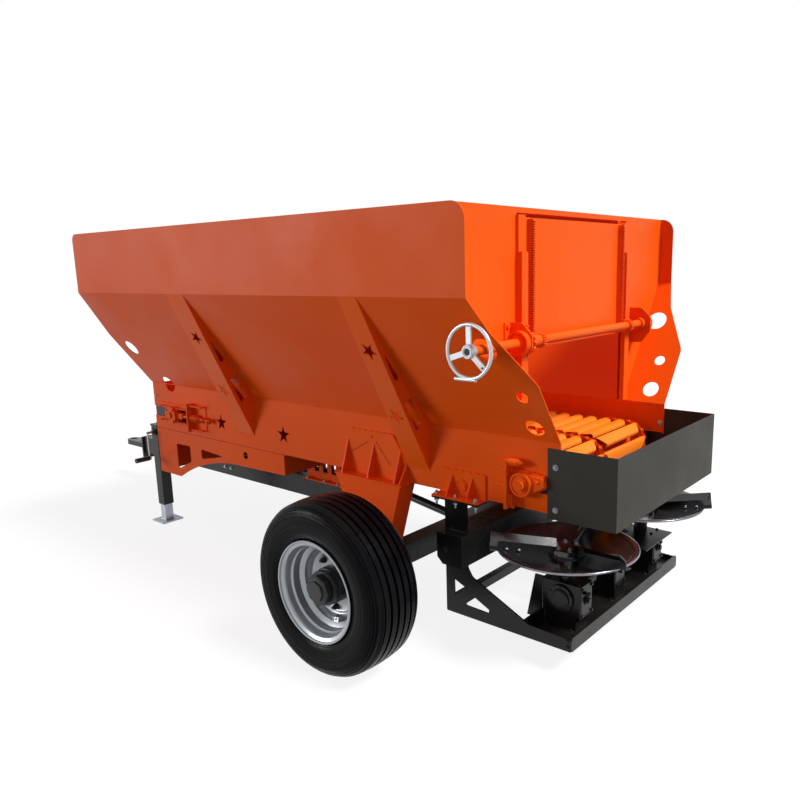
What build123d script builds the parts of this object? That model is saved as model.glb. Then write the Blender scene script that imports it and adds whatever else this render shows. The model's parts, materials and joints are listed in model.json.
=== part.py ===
from build123d import *
import os
from math import acos, atan2, ceil, cos, degrees, hypot, pi, radians, sin, tan

# Towed manure and lime spreader: a V-shaped hopper on one axle, a slat chain that draws
# the load rearwards under a rack-and-pinion gate, and two spinning discs below the rear end.
# Millimetres. +X is the way it travels (the hitch), +Y its left side, +Z up, floor at Z = 0.

# ---------------------------------------------------------------- driving dimensions
# Hopper
band_front_x = 1004.0        # front edge of the upright band round the hopper's sides
band_rear_x = -1936.0        # rear edge of that band
band_top_z = 1909.0          # top rim
bend_z = 1569.0              # bend from the upright band to the sloping side
band_half_width = 927.0      # outer face of the band
sheet = 4.0                  # hopper sheet thickness
flange_nose_reach = 48.0     # how far the front flange bulges ahead of the band
flange_nose_z = 1300.0
tail_reach = 162.0           # how far the rear flange reaches behind the band
tail_z = 1235.0              # height of the rear flange's outermost corner
tail_knee_reach = 40.0       # first, steeper stretch of the rear flange
tail_knee_drop = 129.0
rear_wall_inset = 71.0       # rear wall's rear face ahead of the band's rear edge
front_wall_top_inset = 72.0  # front wall behind the band's front edge, at the rim
front_wall_foot_inset = 312.0   # the same at the sill

# Sills, front panels and cross plates
sill_half_width = 519.0      # outer face of the sills
sill_sheet = 6.0
sill_top_z = 975.0
sill_bottom_z = 672.0
sill_front_x = 994.0
sill_rear_x = -2093.0
slot_height = 65.0           # open-ended slots that the conveyor shafts slide in from
front_slot_length = 310.0
rear_slot_length = 210.0
panel_bottom_z = 366.0
panel_rear_x = -328.0
panel_arch_z = 550.0
cross_plate_sheet = 6.0
star_radius = 54.0
front_hole_x = 780.0          # round hole across the bend between slope and sill
front_hole_rise = 6.0
front_hole_radius = 56.0
front_strut_x = -40.0         # middle of the strut at the bend
rear_strut_x = -1322.0
strut_star_radius = 47.0
strut_foot_rise = 78.0        # strut's foot above the sill's lower edge

# Conveyor
drive_shaft_x = -1926.0
idler_shaft_x = 735.0
conveyor_z = 785.0           # both shafts
sprocket_radius = 85.0       # pitch line of the chain round the sprockets
chain_height = 22.0
chain_width = 26.0
slat_pitch = 80.0
slat_seat = 6.0              # slats' mid-height above the pitch line
strand_y = 455.0             # outer strands; a third runs on the centreline
slat_sheet = 6.0
slat_width = 66.0
slat_lap = 5.0                # how far a slat reaches into the strands beside it
slat_mitre = 28.0
drive_shaft_radius = 22.5
idler_shaft_radius = 20.0
shaft_clearance = 0.05       # radial, in every bearing
deck_sheet = 4.0

# Gate, its guides and its drive
opening_half_width = 500.0
opening_top_z = band_top_z - 22
opening_corner = 8.0
gate_half_width = 478.0
gate_height = 535.0
gate_top_z = opening_top_z - 17   # as stored, nearly fully raised
gate_sheet = 5.0
gate_clearance = 4.0         # between the gate and its channels
guide_sheet = 5.0
guide_depth = 34.0           # how far the channels reach in over the gate's edge
guide_tube = 21.5            # depth of the tube behind the gate's channel
guide_tube_top_z = opening_top_z - 153
rack_module = 3.0
pinion_teeth = 20
rack_y = 412.0
rack_width = 22.0
gate_shaft_z = gate_top_z - gate_height + 40
gate_shaft_radius = 20.0
gate_bearing_gap = 27.0      # left bearing's plate outboard of the sill's face
gate_bearing_gap_right = 49.0
gate_bearing_reach = 81.0    # left bearing's plate above the shaft, and the right one's
gate_bearing_reach_right = 80.0
ratchet_radius = 54.0
gate_shaft_stub = 84.0       # shaft past the right bearing's plate
mesh_clearance = 0.3         # backlash at each flank
pressure_angle = radians(20)
wheel_y = band_half_width - 30    # handwheel's plane
wheel_radius = 107.0
wheel_rim_radius = 7.5
grip_radius = 8.0

# Running gear
axle_x = -1331.0
axle_z = 380.0
axle_size = 94.0
tyre_radius = 380.0
tyre_width = 268.0
track_half = 1070.0
rim_seat_radius = 196.0
rim_flange_radius = 218.0
leg_sheet = 8.0
leg_bracket_top_z = 895.0
leg_front_x = axle_x + 511
leg_rear_x = axle_x + 56
leg_box_width = 107.0
flange_reach = 72.0          # leg and spinner brackets' flanges outboard of the sills

# Spinner unit
spinner_x = -2048.0
spinner_y = 375.0
disc_radius = 305.0
disc_rim_z = 490.0
disc_centre_z = 457.0
disc_sheet = 4.0
disc_flat = 90.0             # radius of the disc's flat middle
blade_count = 3
blade_tip_radius = 345.0
blade_root_radius = 55.0
blade_height = 68.0
blade_web = 40.0
blade_flange = 27.0
blade_sheet = 5.0
blade_start_deg = 42.0
frame_half_width = 555.0     # outer face of the spinner frame's side plates
frame_sheet = 8.0
frame_front_x = -1513.0
frame_rear_x = -2175.0
frame_bottom_z = 103.0
frame_lip_z = 165.0
upright_width = 126.0
crossbar_low_z = 146.0       # square bar between the side plates
crossbar_size = 40.0
crossbar_back = 64.0         # its rear face behind the frame's front
base_plate_back = 370.0      # front edge of the base plate behind the frame's front
bracket_front_reach = 48.0   # rear brackets ahead of the frame's front, and behind it
bracket_rear_reach = 209.0
bracket_height = 111.0
beam_low_z = 362.0
beam_high_z = 508.0
beam_width = 140.0
beam_overhang = 62.0
base_top_z = 130.0
gearbox_length = 196.0
gearbox_width = 104.0
gearbox_height = 145.0
gearbox_foot = 60.0          # side gearboxes above the base
post_top_z = 401.0
input_z = 205.0              # driveline into the middle gearbox

# Deflector
deflector_front_x = -2035.0
deflector_rear_x = -2346.0
deflector_low_z = 651.0
deflector_high_z = 951.0
deflector_sheet = 4.0

# Drawbar, driveline and jack
drawbar_rear_x = -560.0
drawbar_front_x = 2082.0
drawbar_low_z = 235.0
drawbar_width = 90.0
drawbar_wall = 6.0
tongue_tip_x = 2382.0
tongue_width = 100.0
tongue_web_reach = 150.0
tongue_low_z = 270.0
tongue_high_z = 310.0
eye_radius = 26.0
pto_z = 405.0
pto_radius = 24.0
pto_joint_x = -640.0
pto_stub_radius = 17.5
pto_stub_length = 90.0
hanger_length = 370.0
hanger_rise = 100.0          # above the front panels' arch
hanger_slot_low = 54.0
hanger_slot_height = 110.0
hanger_slot_width = 42.0
hanger_slot_pitch = 79.0
hanger_slot_first = 71.0     # front edge of the first slot behind the hanger's front
jack_y = 485.0
jack_size = 70.0
jack_inner_size = 56.0
jack_low_z = 120.0
jack_high_z = 670.0
foot_length = 150.0
foot_width = 140.0
foot_sheet = 10.0
crank_throw = 172.0
crank_grip = 98.0

# ---------------------------------------------------------------- worked out from them
slope_run = band_half_width - sill_half_width
slope_drop = bend_z - sill_top_z
slope_length = hypot(slope_run, slope_drop)
slope_sheet_y = sheet * slope_length / slope_drop
inner_half_foot = sill_half_width - slope_sheet_y
inner_half_top = band_half_width - sheet
inner_bend_z = sill_top_z + (inner_half_top - inner_half_foot) * slope_drop / slope_run
slope_normal = (0, slope_drop / slope_length, -slope_run / slope_length)
rear_wall_x = band_rear_x + rear_wall_inset
sill_inner = sill_half_width - sill_sheet
drawbar_high_z = panel_bottom_z
gate_bottom_z = gate_top_z - gate_height
pinion_radius = rack_module * pinion_teeth / 2
gate_x = rear_wall_x - gate_sheet / 2
rack_pitch_x = rear_wall_x - 30.0
gate_shaft_x = rack_pitch_x - pinion_radius
gearbox_z = base_top_z + gearbox_foot + gearbox_height / 2
shaft_half = sill_half_width + 60.0


# Windows through both flanges of a strut: share of the way down its outer edge, depth
# from that edge as a share of the flange's width there
strut_windows = [
    [(0.282, 0.52), (0.43, 0.80), (0.454, 0.55), (0.448, 0.33)],
    [(0.557, 0.88), (0.714, 0.69), (0.752, 0.24), (0.581, 0.28)],
]


# ---------------------------------------------------------------- helpers
def box(x0, x1, y0, y1, z0, z1):
    """A block between two corners."""
    centre = Pos((x0 + x1) / 2, (y0 + y1) / 2, (z0 + z1) / 2)
    return centre * Box(abs(x1 - x0), abs(y1 - y0), abs(z1 - z0))


def outline(points):
    """A flat face through (u, v) or (u, v, corner radius) points."""
    face = Polygon(*[(p[0], p[1]) for p in points], align=None)
    for p in points:
        if len(p) > 2:
            corner = face.vertices().sort_by_distance((p[0], p[1], 0))[0]
            face = fillet(corner, p[2])
    return face


def along_y(face, y0, y1):
    """A face drawn in X and Z, made solid from y0 to y1."""
    plane = Plane((0, y0, 0), x_dir=(1, 0, 0), z_dir=(0, -1, 0))
    return extrude(plane * face, y1 - y0, dir=(0, 1, 0))


def along_x(face, x0, x1):
    """A face drawn in Y and Z, made solid from x0 to x1."""
    plane = Plane((x0, 0, 0), x_dir=(0, 1, 0), z_dir=(1, 0, 0))
    return extrude(plane * face, x1 - x0, dir=(1, 0, 0))


def along_z(face, z0, z1):
    """A face drawn in X and Y, made solid from z0 to z1."""
    return extrude(Plane((0, 0, z0)) * face, z1 - z0, dir=(0, 0, 1))


def rod(start, end, radius):
    """A round bar between two points."""
    start, end = Vector(*start), Vector(*end)
    return extrude(Plane(start, z_dir=end - start) * Circle(radius), (end - start).length)


def rod_y(x, z, y0, y1, radius):
    return rod((x, y0, z), (x, y1, z), radius)


def star(radius, turn=90.0):
    """A five-pointed star."""
    tips = []
    for i in range(10):
        r = radius if i % 2 == 0 else radius * 0.39
        a = radians(turn + 36 * i)
        tips.append((r * cos(a), r * sin(a)))
    return Polygon(*tips, align=None)


def other_side(shape):
    """The same piece on the machine's right."""
    return mirror(shape, about=Plane.XZ)


def both(shape):
    """A piece and its mirror image, as separate solids of one node."""
    return Part(children=list(shape.solids()) + list(other_side(shape).solids()))


def save(name, shape):
    export_step(shape, os.path.join("parts", name + ".step"))


# ---------------------------------------------------------------- hopper
def hopper_side_outline():
    """Side view of a hopper wall with its front and rear flanges."""
    nose_x = band_front_x + flange_nose_reach
    tail_x = band_rear_x - tail_reach
    return outline([
        (band_front_x, band_top_z, 40),
        (band_front_x, bend_z),
        (nose_x, flange_nose_z, 60),
        (sill_front_x + 8, sill_top_z),
        (sill_rear_x, sill_top_z),
        (tail_x, tail_z, 40),
        (band_rear_x - tail_knee_reach, bend_z - tail_knee_drop, 60),
        (band_rear_x, bend_z),
        (band_rear_x, band_top_z, 65),
    ])


def slope_point(x, z):
    """The point of the left slope's outer face at a height."""
    return (x, sill_half_width + (z - sill_top_z) * slope_run / slope_drop, z)


def hopper_side():
    """One bent sheet: upright band, slope, and the flanges beyond the end walls."""
    section = outline([
        (band_half_width, band_top_z),
        (band_half_width, bend_z),
        (sill_half_width, sill_top_z),
        (inner_half_foot, sill_top_z),
        (inner_half_top, inner_bend_z),
        (inner_half_top, band_top_z),
    ])
    reach = band_front_x + flange_nose_reach + 50
    tail = band_rear_x - tail_reach - 50
    wall = along_x(section, tail, reach)
    wall &= along_y(hopper_side_outline(), 0, band_half_width + 50)
    # Lightening holes in the flanges: x, share of the way up the slope, radius
    holes = [
        (band_rear_x + 16, 0.668, 52),
        (band_rear_x - 65, 0.337, 28),
        (band_rear_x - 62, 0.103, 42),
        (band_front_x - 106, 0.412, 52),
        (front_hole_x, front_hole_rise / slope_length, front_hole_radius),
    ]
    for x, share, radius in holes:
        plane = Plane(slope_point(x, sill_top_z + share * slope_drop), z_dir=slope_normal)
        wall -= extrude(plane * Circle(radius), 30, both=True)
    return wall


def inner_section():
    """Section across the hopper between its side walls."""
    right = [(-inner_half_foot, sill_top_z), (-inner_half_top, inner_bend_z),
             (-inner_half_top, band_top_z)]
    left = [(-y, z) for y, z in reversed(right)]
    return Polygon(*right, *left, align=None)


def hopper_rear_wall():
    wall = along_x(inner_section(), rear_wall_x, rear_wall_x + sheet)
    cut = outline([
        (-opening_half_width, sill_top_z - 1),
        (opening_half_width, sill_top_z - 1),
        (opening_half_width, opening_top_z, opening_corner),
        (-opening_half_width, opening_top_z, opening_corner),
    ])
    return wall - along_x(cut, rear_wall_x - 1, rear_wall_x + sheet + 1)


def hopper_front_wall():
    """Leans forward towards the rim."""
    top_x = band_front_x - front_wall_top_inset
    foot_x = band_front_x - front_wall_foot_inset
    profile = outline([
        (foot_x, sill_top_z),
        (top_x, band_top_z),
        (top_x - sheet, band_top_z),
        (foot_x - sheet, sill_top_z),
    ])
    space = along_x(inner_section(), foot_x - 50, top_x + 50)
    return along_y(profile, -band_half_width, band_half_width) & space


# ---------------------------------------------------------------- sills and front panels
def sill():
    """Side member under the slope, slotted at both ends for the conveyor shafts."""
    plate = box(sill_rear_x, sill_front_x, sill_inner, sill_half_width,
                sill_bottom_z, sill_top_z)
    low = conveyor_z - slot_height / 2
    high = conveyor_z + slot_height / 2
    plate -= box(sill_front_x - front_slot_length, sill_front_x + 1,
                 sill_inner - 1, sill_half_width + 1, low, high)
    plate -= box(sill_rear_x - 1, sill_rear_x + rear_slot_length,
                 sill_inner - 1, sill_half_width + 1, low, high)
    for x in (sill_front_x - 746, sill_front_x - 1330):
        cut = Pos(x, conveyor_z) * star(star_radius)
        plate -= along_y(cut, sill_inner - 1, sill_half_width + 1)
    return plate - rod_y(front_hole_x, sill_top_z + front_hole_rise, sill_inner - 1,
                         sill_half_width + 1, front_hole_radius)


def front_panel():
    """Deep panel under the front of the sill, arched towards the axle."""
    foot_rear_x = sill_front_x - 242
    arch_x = panel_rear_x + 376
    lines = Polyline((arch_x, panel_arch_z - 8), (panel_rear_x, panel_arch_z),
                     (panel_rear_x, sill_bottom_z), (sill_front_x, sill_bottom_z),
                     (sill_front_x, panel_bottom_z), (foot_rear_x, panel_bottom_z))
    middle = ((arch_x + foot_rear_x) / 2 - 56, panel_bottom_z + 152)
    arch = ThreePointArc((foot_rear_x, panel_bottom_z), middle, (arch_x, panel_arch_z - 8))
    plate = along_y(make_face(lines + arch), sill_inner, sill_half_width)
    x = sill_front_x
    z = sill_bottom_z
    windows = [
        [(x - 222, z - 87, 10), (x - 222, z - 257, 10), (x - 378, z - 187, 10),
         (x - 378, z - 86, 10)],
        [(x - 502, z - 87, 8), (x - 502, z - 150, 8), (x - 754, z - 102, 4)],
    ]
    for window in windows:
        plate -= along_y(outline(window), sill_inner - 1, sill_half_width + 1)
    plate -= rod_y(x - 964, z - 59, sill_inner - 1, sill_half_width + 1, 22)
    return plate


def cross_plates():
    """Front plate with the driveline's hole, and the plate behind the front panels."""
    front = box(sill_front_x - cross_plate_sheet, sill_front_x, -sill_inner, sill_inner,
                panel_bottom_z, sill_top_z - 10)
    front -= rod((sill_front_x - 20, 0, pto_z), (sill_front_x + 20, 0, pto_z),
                 pto_radius + 8)
    rear = box(panel_rear_x, panel_rear_x + cross_plate_sheet, -sill_inner, sill_inner,
               panel_arch_z, sill_bottom_z - 6)
    return Part(children=[front, rear])


# ---------------------------------------------------------------- struts
def strut(front_top, rear_top, front_foot, rear_foot):
    """Channel-shaped rib from the bend down to the sill, pierced with stars and windows."""
    foot_z = sill_bottom_z + strut_foot_rise
    top_z = bend_z
    run = band_half_width - sill_half_width
    drop = top_z - foot_z
    edge = hypot(run, drop)
    inward = sheet * edge / drop
    back = sheet * 15
    wedge = [(band_half_width, top_z), (sill_half_width, foot_z),
             (sill_half_width, sill_top_z)]
    hollow = [(band_half_width - inward, top_z), (sill_half_width - inward, foot_z),
              (sill_half_width - inward - back, foot_z),
              (sill_half_width - inward - back, top_z)]
    mask = [(front_top, top_z), (front_foot, foot_z), (rear_foot, foot_z), (rear_top, top_z)]
    core = [(front_top - sheet, top_z), (front_foot - sheet, foot_z),
            (rear_foot + sheet, foot_z), (rear_top + sheet, top_z)]
    rear_x = min(rear_top, rear_foot) - 50
    front_x = max(front_top, front_foot) + 50
    reach = band_half_width + 50
    body = along_x(Polygon(*wedge, align=None), rear_x, front_x)
    body &= along_y(Polygon(*mask, align=None), 0, reach)
    space = along_x(Polygon(*hollow, align=None), rear_x, front_x)
    body -= space & along_y(Polygon(*core, align=None), 0, reach)
    normal = (0, drop / edge, -run / edge)
    for share in (0.288, 0.663):
        x = (front_top + rear_top) / 2 * (1 - share) + (front_foot + rear_foot) / 2 * share
        y = band_half_width - run * share
        plane = Plane((x, y, top_z - drop * share), x_dir=(1, 0, 0), z_dir=normal)
        body -= extrude(plane * star(strut_star_radius), sheet * 2, both=True)
    for corners in strut_windows:
        window = []
        for share, depth in corners:
            z = top_z - drop * share
            y = band_half_width - run * share
            wall_y = sill_half_width + max(0.0, z - sill_top_z) * slope_run / slope_drop
            window.append((y - depth * (y - wall_y), z, 3))
        body -= along_x(outline(window), rear_x, front_x)
    return body


def hopper_struts():
    # middle and width at the bend, middle and width at the foot
    places = [
        (front_strut_x, 157, front_strut_x + 42, 142),
        (rear_strut_x, 106, rear_strut_x - 8, 135),
    ]
    solids = []
    for top_x, top_width, foot_x, foot_width in places:
        rib = strut(top_x + top_width / 2, top_x - top_width / 2,
                    foot_x + foot_width / 2, foot_x - foot_width / 2)
        solids += rib.solids() + other_side(rib).solids()
    return Part(children=solids)


# ---------------------------------------------------------------- wheel legs and axle
def wheel_leg():
    """Bracket on the sill, gusseted flange, and the box leg that leans out to the axle."""
    face = sill_half_width
    top = leg_bracket_top_z
    flange_low = sill_bottom_z - leg_sheet
    plate = outline([
        (leg_front_x - 10, sill_bottom_z), (leg_front_x - 54, top, 14),
        (leg_rear_x + 100, top, 14), (leg_rear_x + 20, top - 125, 14),
        (leg_rear_x + 12, sill_bottom_z),
    ])
    plate -= Pos(leg_front_x - 215, top - 26) * Circle(6)
    leg = along_y(plate, face, face + leg_sheet)
    leg += box(leg_rear_x, leg_front_x, face - 39, face + flange_reach, flange_low,
               sill_bottom_z)
    # gussets: share of the flange's length from its rear end, rise
    for share, rise in ((0.042, 84), (0.119, 152), (0.508, 162), (0.903, 169)):
        x = leg_rear_x + (leg_front_x - leg_rear_x) * share
        web = Polygon((face + leg_sheet, sill_bottom_z),
                      (face + flange_reach - 8, sill_bottom_z),
                      (face + leg_sheet, sill_bottom_z + rise), align=None)
        leg += along_x(web, x - leg_sheet / 2, x + leg_sheet / 2)
    axle_top = axle_z + axle_size / 2
    top_face = Pos((leg_front_x + leg_rear_x) / 2, face + 14, flange_low) * Rectangle(
        leg_front_x - leg_rear_x - 16, leg_box_width)
    lean = (flange_low - axle_top) * 0.72
    foot_face = Pos(axle_x + 95, face + 14 + lean, axle_top) * Rectangle(
        190, leg_box_width - 7)
    return leg + loft([foot_face, top_face])


def axle():
    """Square beam with a round stub at each end."""
    beam = box(axle_x - axle_size / 2, axle_x + axle_size / 2,
               -track_half + 170, track_half - 170, axle_z - axle_size / 2,
               axle_z + axle_size / 2)
    for side in (-1, 1):
        beam += rod((axle_x, side * (track_half - 170), axle_z),
                    (axle_x, side * (track_half + 60), axle_z), 30)
    return beam


# ---------------------------------------------------------------- wheels
def turned(profile, y, side):
    """A profile of (radius, distance outboard) turned about the axle."""
    face = Polygon(*[(r, side * out) for r, out in profile], align=None)
    plane = Plane((axle_x, y, axle_z), x_dir=(1, 0, 0), z_dir=(0, 0, 1))
    return revolve(plane * face, Axis((axle_x, y, axle_z), (0, 1, 0)))


def tyre(side):
    half = tyre_width / 2
    seat = rim_seat_radius
    profile = [(seat, -half + 28), (seat + 44, -half + 8), (seat + 100, -half),
               (tyre_radius - 34, -half + 10), (tyre_radius - 5, -half + 44),
               (tyre_radius, 0)]
    profile += [(r, -out) for r, out in reversed(profile[:-1])]
    return turned(profile, side * track_half, side)


def rim(side):
    """Drop-centre rim with a dished disc."""
    half = tyre_width / 2
    seat = rim_seat_radius
    flange = rim_flange_radius
    well = seat - 32
    t = 6.0
    outer = [(flange, -half + 2), (flange, -half + 12), (seat - 0.2, -half + 28),
             (seat - 0.2, -40), (well, -25), (well, 30), (seat - 0.2, 45),
             (seat - 0.2, half - 28), (flange, half - 12), (flange, half - 2)]
    inner = [(flange - t, half - 2), (flange - t, half - 14), (seat - t, half - 26),
             (seat - t, 42), (well - t, 28), (well - t, 4), (62, -2), (62, -10),
             (well - t, -4), (well - t, -23), (seat - t, -38), (seat - t, -half + 26),
             (flange - t, -half + 14), (flange - t, -half + 2)]
    return turned(outer + inner, side * track_half, side)


def hub(side):
    """Bearing hub through the wheel disc, with its flange and cap."""
    bore = 30 + shaft_clearance
    profile = [(bore, -100), (58, -100), (58, -60), (96, -50), (96, -10.5), (61.5, -10.5),
               (61.5, 20), (55, 40), (55, 88), (40, 98), (40, 122), (0, 122), (0, 62),
               (bore, 62)]
    return turned(profile, side * track_half, side)


# ---------------------------------------------------------------- conveyor
def stadium(radius):
    """Outline round both shafts at a distance from them."""
    middle = (drive_shaft_x + idler_shaft_x) / 2
    length = idler_shaft_x - drive_shaft_x
    return Pos(middle, conveyor_z) * SlotCenterToCenter(length, 2 * radius)


def loop_point(run, height):
    """Place and heading at a distance along the chain, a height above its pitch line."""
    length = idler_shaft_x - drive_shaft_x
    turn = pi * sprocket_radius
    run %= 2 * (length + turn)
    r = sprocket_radius + height
    if run < length:
        return drive_shaft_x + run, conveyor_z + r, 0.0
    run -= length
    if run < turn:
        a = run / sprocket_radius
        return idler_shaft_x + r * sin(a), conveyor_z + r * cos(a), -degrees(a)
    run -= turn
    if run < length:
        return idler_shaft_x - run, conveyor_z - r, 180.0
    run -= length
    a = run / sprocket_radius
    return drive_shaft_x - r * sin(a), conveyor_z - r * cos(a), 180.0 - degrees(a)


def conveyor_chain():
    """Three strands of chain, joined by mitred slats that close the floor between them."""
    band = stadium(sprocket_radius + chain_height / 2) - stadium(
        sprocket_radius - chain_height / 2)
    strands = []
    for y in (-strand_y, 0.0, strand_y):
        strands.append(along_y(band, y - chain_width / 2, y + chain_width / 2))
    total = 2 * (idler_shaft_x - drive_shaft_x + pi * sprocket_radius)
    count = int(total // slat_pitch)
    near = chain_width / 2 - slat_lap
    far = strand_y - chain_width / 2 + slat_lap
    half = slat_width / 2
    plan = Polygon((-half, near), (-half, far), (half, far - slat_mitre),
                   (half, near + slat_mitre), align=None)
    slat = extrude(plan, slat_sheet / 2, both=True)
    slats = []
    for i in range(count):
        x, z, turn = loop_point(i * total / count, slat_seat)
        for piece in (slat, other_side(slat)):
            slats.append(Pos(x, 0, z) * Rot(0, -turn, 0) * piece)
    return Part() + strands + slats


def shaft_with_sprockets(x, radius):
    """A cross shaft with a sprocket under each strand."""
    shaft = rod_y(x, conveyor_z, -shaft_half, shaft_half, radius)
    for y in (-strand_y, 0.0, strand_y):
        shaft += rod_y(x, conveyor_z, y - 9, y + 9,
                       sprocket_radius - chain_height / 2 - 0.4)
    return shaft


def conveyor_deck():
    """Sheet floor under the upper run."""
    top = conveyor_z + sprocket_radius - chain_height / 2 - 1
    return box(drive_shaft_x + sprocket_radius + 24, idler_shaft_x - sprocket_radius - 24,
               -sill_inner, sill_inner, top - deck_sheet, top)


def take_up():
    """Rails, sliding bearing, end plate, screw and the bracket that the screw pulls on."""
    y0 = sill_half_width
    x = idler_shaft_x
    z = conveyor_z
    front_x = x + 155
    plate_x = x - 194
    bracket_x = x - 335
    half = slot_height / 2 + 10
    frame = box(plate_x - 10, plate_x, y0, y0 + 52, z - 85, z + 91)
    frame += box(bracket_x, plate_x, y0, y0 + 5, z - 72, z + 80)
    for side in (-1, 1):
        rail = Polygon((y0, z + side * half), (y0 + 34, z + side * half),
                       (y0 + 34, z + side * (half + 6)), (y0 + 8, z + side * (half + 6)),
                       (y0 + 8, z + side * (half + 26)), (y0, z + side * (half + 26)),
                       align=None)
        frame += along_x(rail, plate_x, front_x)
        frame += box(bracket_x, plate_x, y0, y0 + 40, z + side * 74 + 2, z + side * 74 + 8)
    block = box(x - 62, x + 52, y0 + 1, y0 + 35, z - half + 0.3, z + half - 0.3)
    block += rod_y(x, z, y0 + 34.3, y0 + 50, 58)
    block += box(x - 112, x - 60, y0 + 8, y0 + 34, z - 17, z + 17)
    block += rod((x - 110, y0 + 21, z), (x - 403, y0 + 21, z), 8)
    block += rod((plate_x - 10, y0 + 21, z), (plate_x - 88, y0 + 21, z), 20)
    block -= rod_y(x, z, y0 - 1, y0 + 60, idler_shaft_radius + shaft_clearance)
    return frame + block


def drive_bearing():
    """Round flanged housing, its tapered rear block, and the upright adjusting plate."""
    y0 = sill_half_width
    x = drive_shaft_x
    z = conveyor_z
    body = along_y(outline([
        (x + 61, z + 55), (x - 20, z + 55, 20), (x - 105, z + 46, 10), (x - 105, z - 8, 10),
        (x - 30, z - 55, 30), (x + 61, z - 55),
    ]), y0, y0 + 14)
    tail = along_y(outline([
        (x - 30, z + 46), (x - 101, z + 40, 8), (x - 101, z - 2, 8), (x - 30, z - 40),
    ]), y0 + 14, y0 + 34)
    body += tail + rod_y(x, z, y0, y0 + 46, 52)
    body += box(x + 61, x + 76, y0, y0 + 56, z - 114, z + 102)
    body += box(x + 44, x + 61, y0, y0 + 40, z - 104, z - 50)
    body += rod((x + 61, y0 + 36, z + 92), (x, y0 + 36, z + 92), 10)
    body += Pos(x, y0 + 36, z + 92) * Sphere(10)
    for height in (-17, 54):
        body += rod((x + 76, y0 + 34, z + height), (x + 118, y0 + 34, z + height), 7)
    ring = rod_y(x, z, y0 + 41, y0 + 47, 43) - rod_y(x, z, y0 + 40, y0 + 48, 36)
    return body - ring - rod_y(x, z, y0 - 1, y0 + 60, drive_shaft_radius + shaft_clearance)


# ---------------------------------------------------------------- gate and its drive
def gate_guide():
    """Channel in the opening's edge that the gate slides in, backed by a hollow tube."""
    inside = gate_sheet / 2 + gate_clearance
    edge = gate_half_width + gate_clearance
    low = sill_top_z + 10
    high = opening_top_z - opening_corner
    front_x = gate_x + inside
    rear_x = gate_x - inside
    lip = edge - guide_depth
    guide = box(rear_x - guide_sheet, front_x + guide_sheet, edge, opening_half_width, low, high)
    guide += box(front_x, front_x + guide_sheet, lip, opening_half_width, low, high)
    guide += box(rear_x - guide_sheet, rear_x, lip, opening_half_width, low, high)
    tube = Polygon((rear_x, lip + 4), (rear_x, opening_half_width),
                   (rear_x - guide_tube, opening_half_width), (rear_x - guide_tube, lip + 4),
                   align=None)
    hollow = Polygon((rear_x - guide_sheet, lip + 8), (rear_x - guide_sheet, edge),
                     (rear_x - guide_tube + 3, edge), (rear_x - guide_tube + 3, lip + 8),
                     align=None)
    tube = along_z(tube, low, guide_tube_top_z) - along_z(hollow, low - 1, guide_tube_top_z + 1)
    corners = tube.edges().filter_by(Axis.Z).group_by(Axis.X)[0]
    return guide + fillet(corners, 2.5)


def gate_panel():
    return box(gate_x - gate_sheet / 2, gate_x + gate_sheet / 2,
               -gate_half_width, gate_half_width, gate_bottom_z, gate_top_z)


def rack():
    """Toothed bar on the gate's rear face."""
    pitch = pi * rack_module
    root = rack_pitch_x + 1.25 * rack_module
    tip = rack_pitch_x - rack_module
    lean = tan(pressure_angle)
    half_gap_root = pitch / 4 - lean * 1.25 * rack_module + mesh_clearance / 2
    past = 1.0
    half_gap_mouth = pitch / 4 + lean * (rack_module + past) + mesh_clearance / 2
    back = gate_x - gate_sheet / 2
    bar = Polygon((back, gate_bottom_z + 6), (back, gate_top_z - 6),
                  (tip, gate_top_z - 6), (tip, gate_bottom_z + 6), align=None)
    low = ceil((gate_bottom_z + 12 - gate_shaft_z) / pitch)
    high = int((gate_top_z - 12 - gate_shaft_z) // pitch)
    for i in range(low, high + 1):
        z = gate_shaft_z + (i + 0.5) * pitch
        if z + half_gap_mouth > gate_top_z - 8:
            continue
        bar -= Polygon((root, z - half_gap_root), (root, z + half_gap_root),
                       (tip - past, z + half_gap_mouth), (tip - past, z - half_gap_mouth),
                       align=None)
    return along_y(bar, rack_y - rack_width / 2, rack_y + rack_width / 2)


def pinion_face():
    """Involute gear outline; a tooth gap faces straight forward, over a rack tooth."""
    base = pinion_radius * cos(pressure_angle)
    root = pinion_radius - 1.25 * rack_module
    tip = pinion_radius + rack_module * 0.97

    def half_tooth(r):
        lean = acos(min(1.0, base / r))
        pitch_lean = tan(pressure_angle) - pressure_angle
        play = mesh_clearance / 2 / pinion_radius
        return pi / 2 / pinion_teeth - play + pitch_lean - (tan(lean) - lean)

    flank = [root, base, (base + tip) / 2, tip]
    points = []
    for i in range(pinion_teeth):
        middle = 2 * pi * (i + 0.5) / pinion_teeth
        for r in flank:
            a = middle - half_tooth(max(r, base))
            points.append((r * cos(a), r * sin(a)))
        for r in reversed(flank):
            a = middle + half_tooth(max(r, base))
            points.append((r * cos(a), r * sin(a)))
    return Polygon(*points, align=None)


def ratchet_face():
    teeth = 14
    points = []
    for i in range(teeth):
        a = 2 * pi * i / teeth
        points.append((ratchet_radius * cos(a), ratchet_radius * sin(a)))
        points.append((ratchet_radius * 0.97 * cos(a + 0.12),
                       ratchet_radius * 0.97 * sin(a + 0.12)))
        points.append((ratchet_radius * 0.8 * cos(a + 0.18),
                       ratchet_radius * 0.8 * sin(a + 0.18)))
    return Polygon(*points, align=None)


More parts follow.
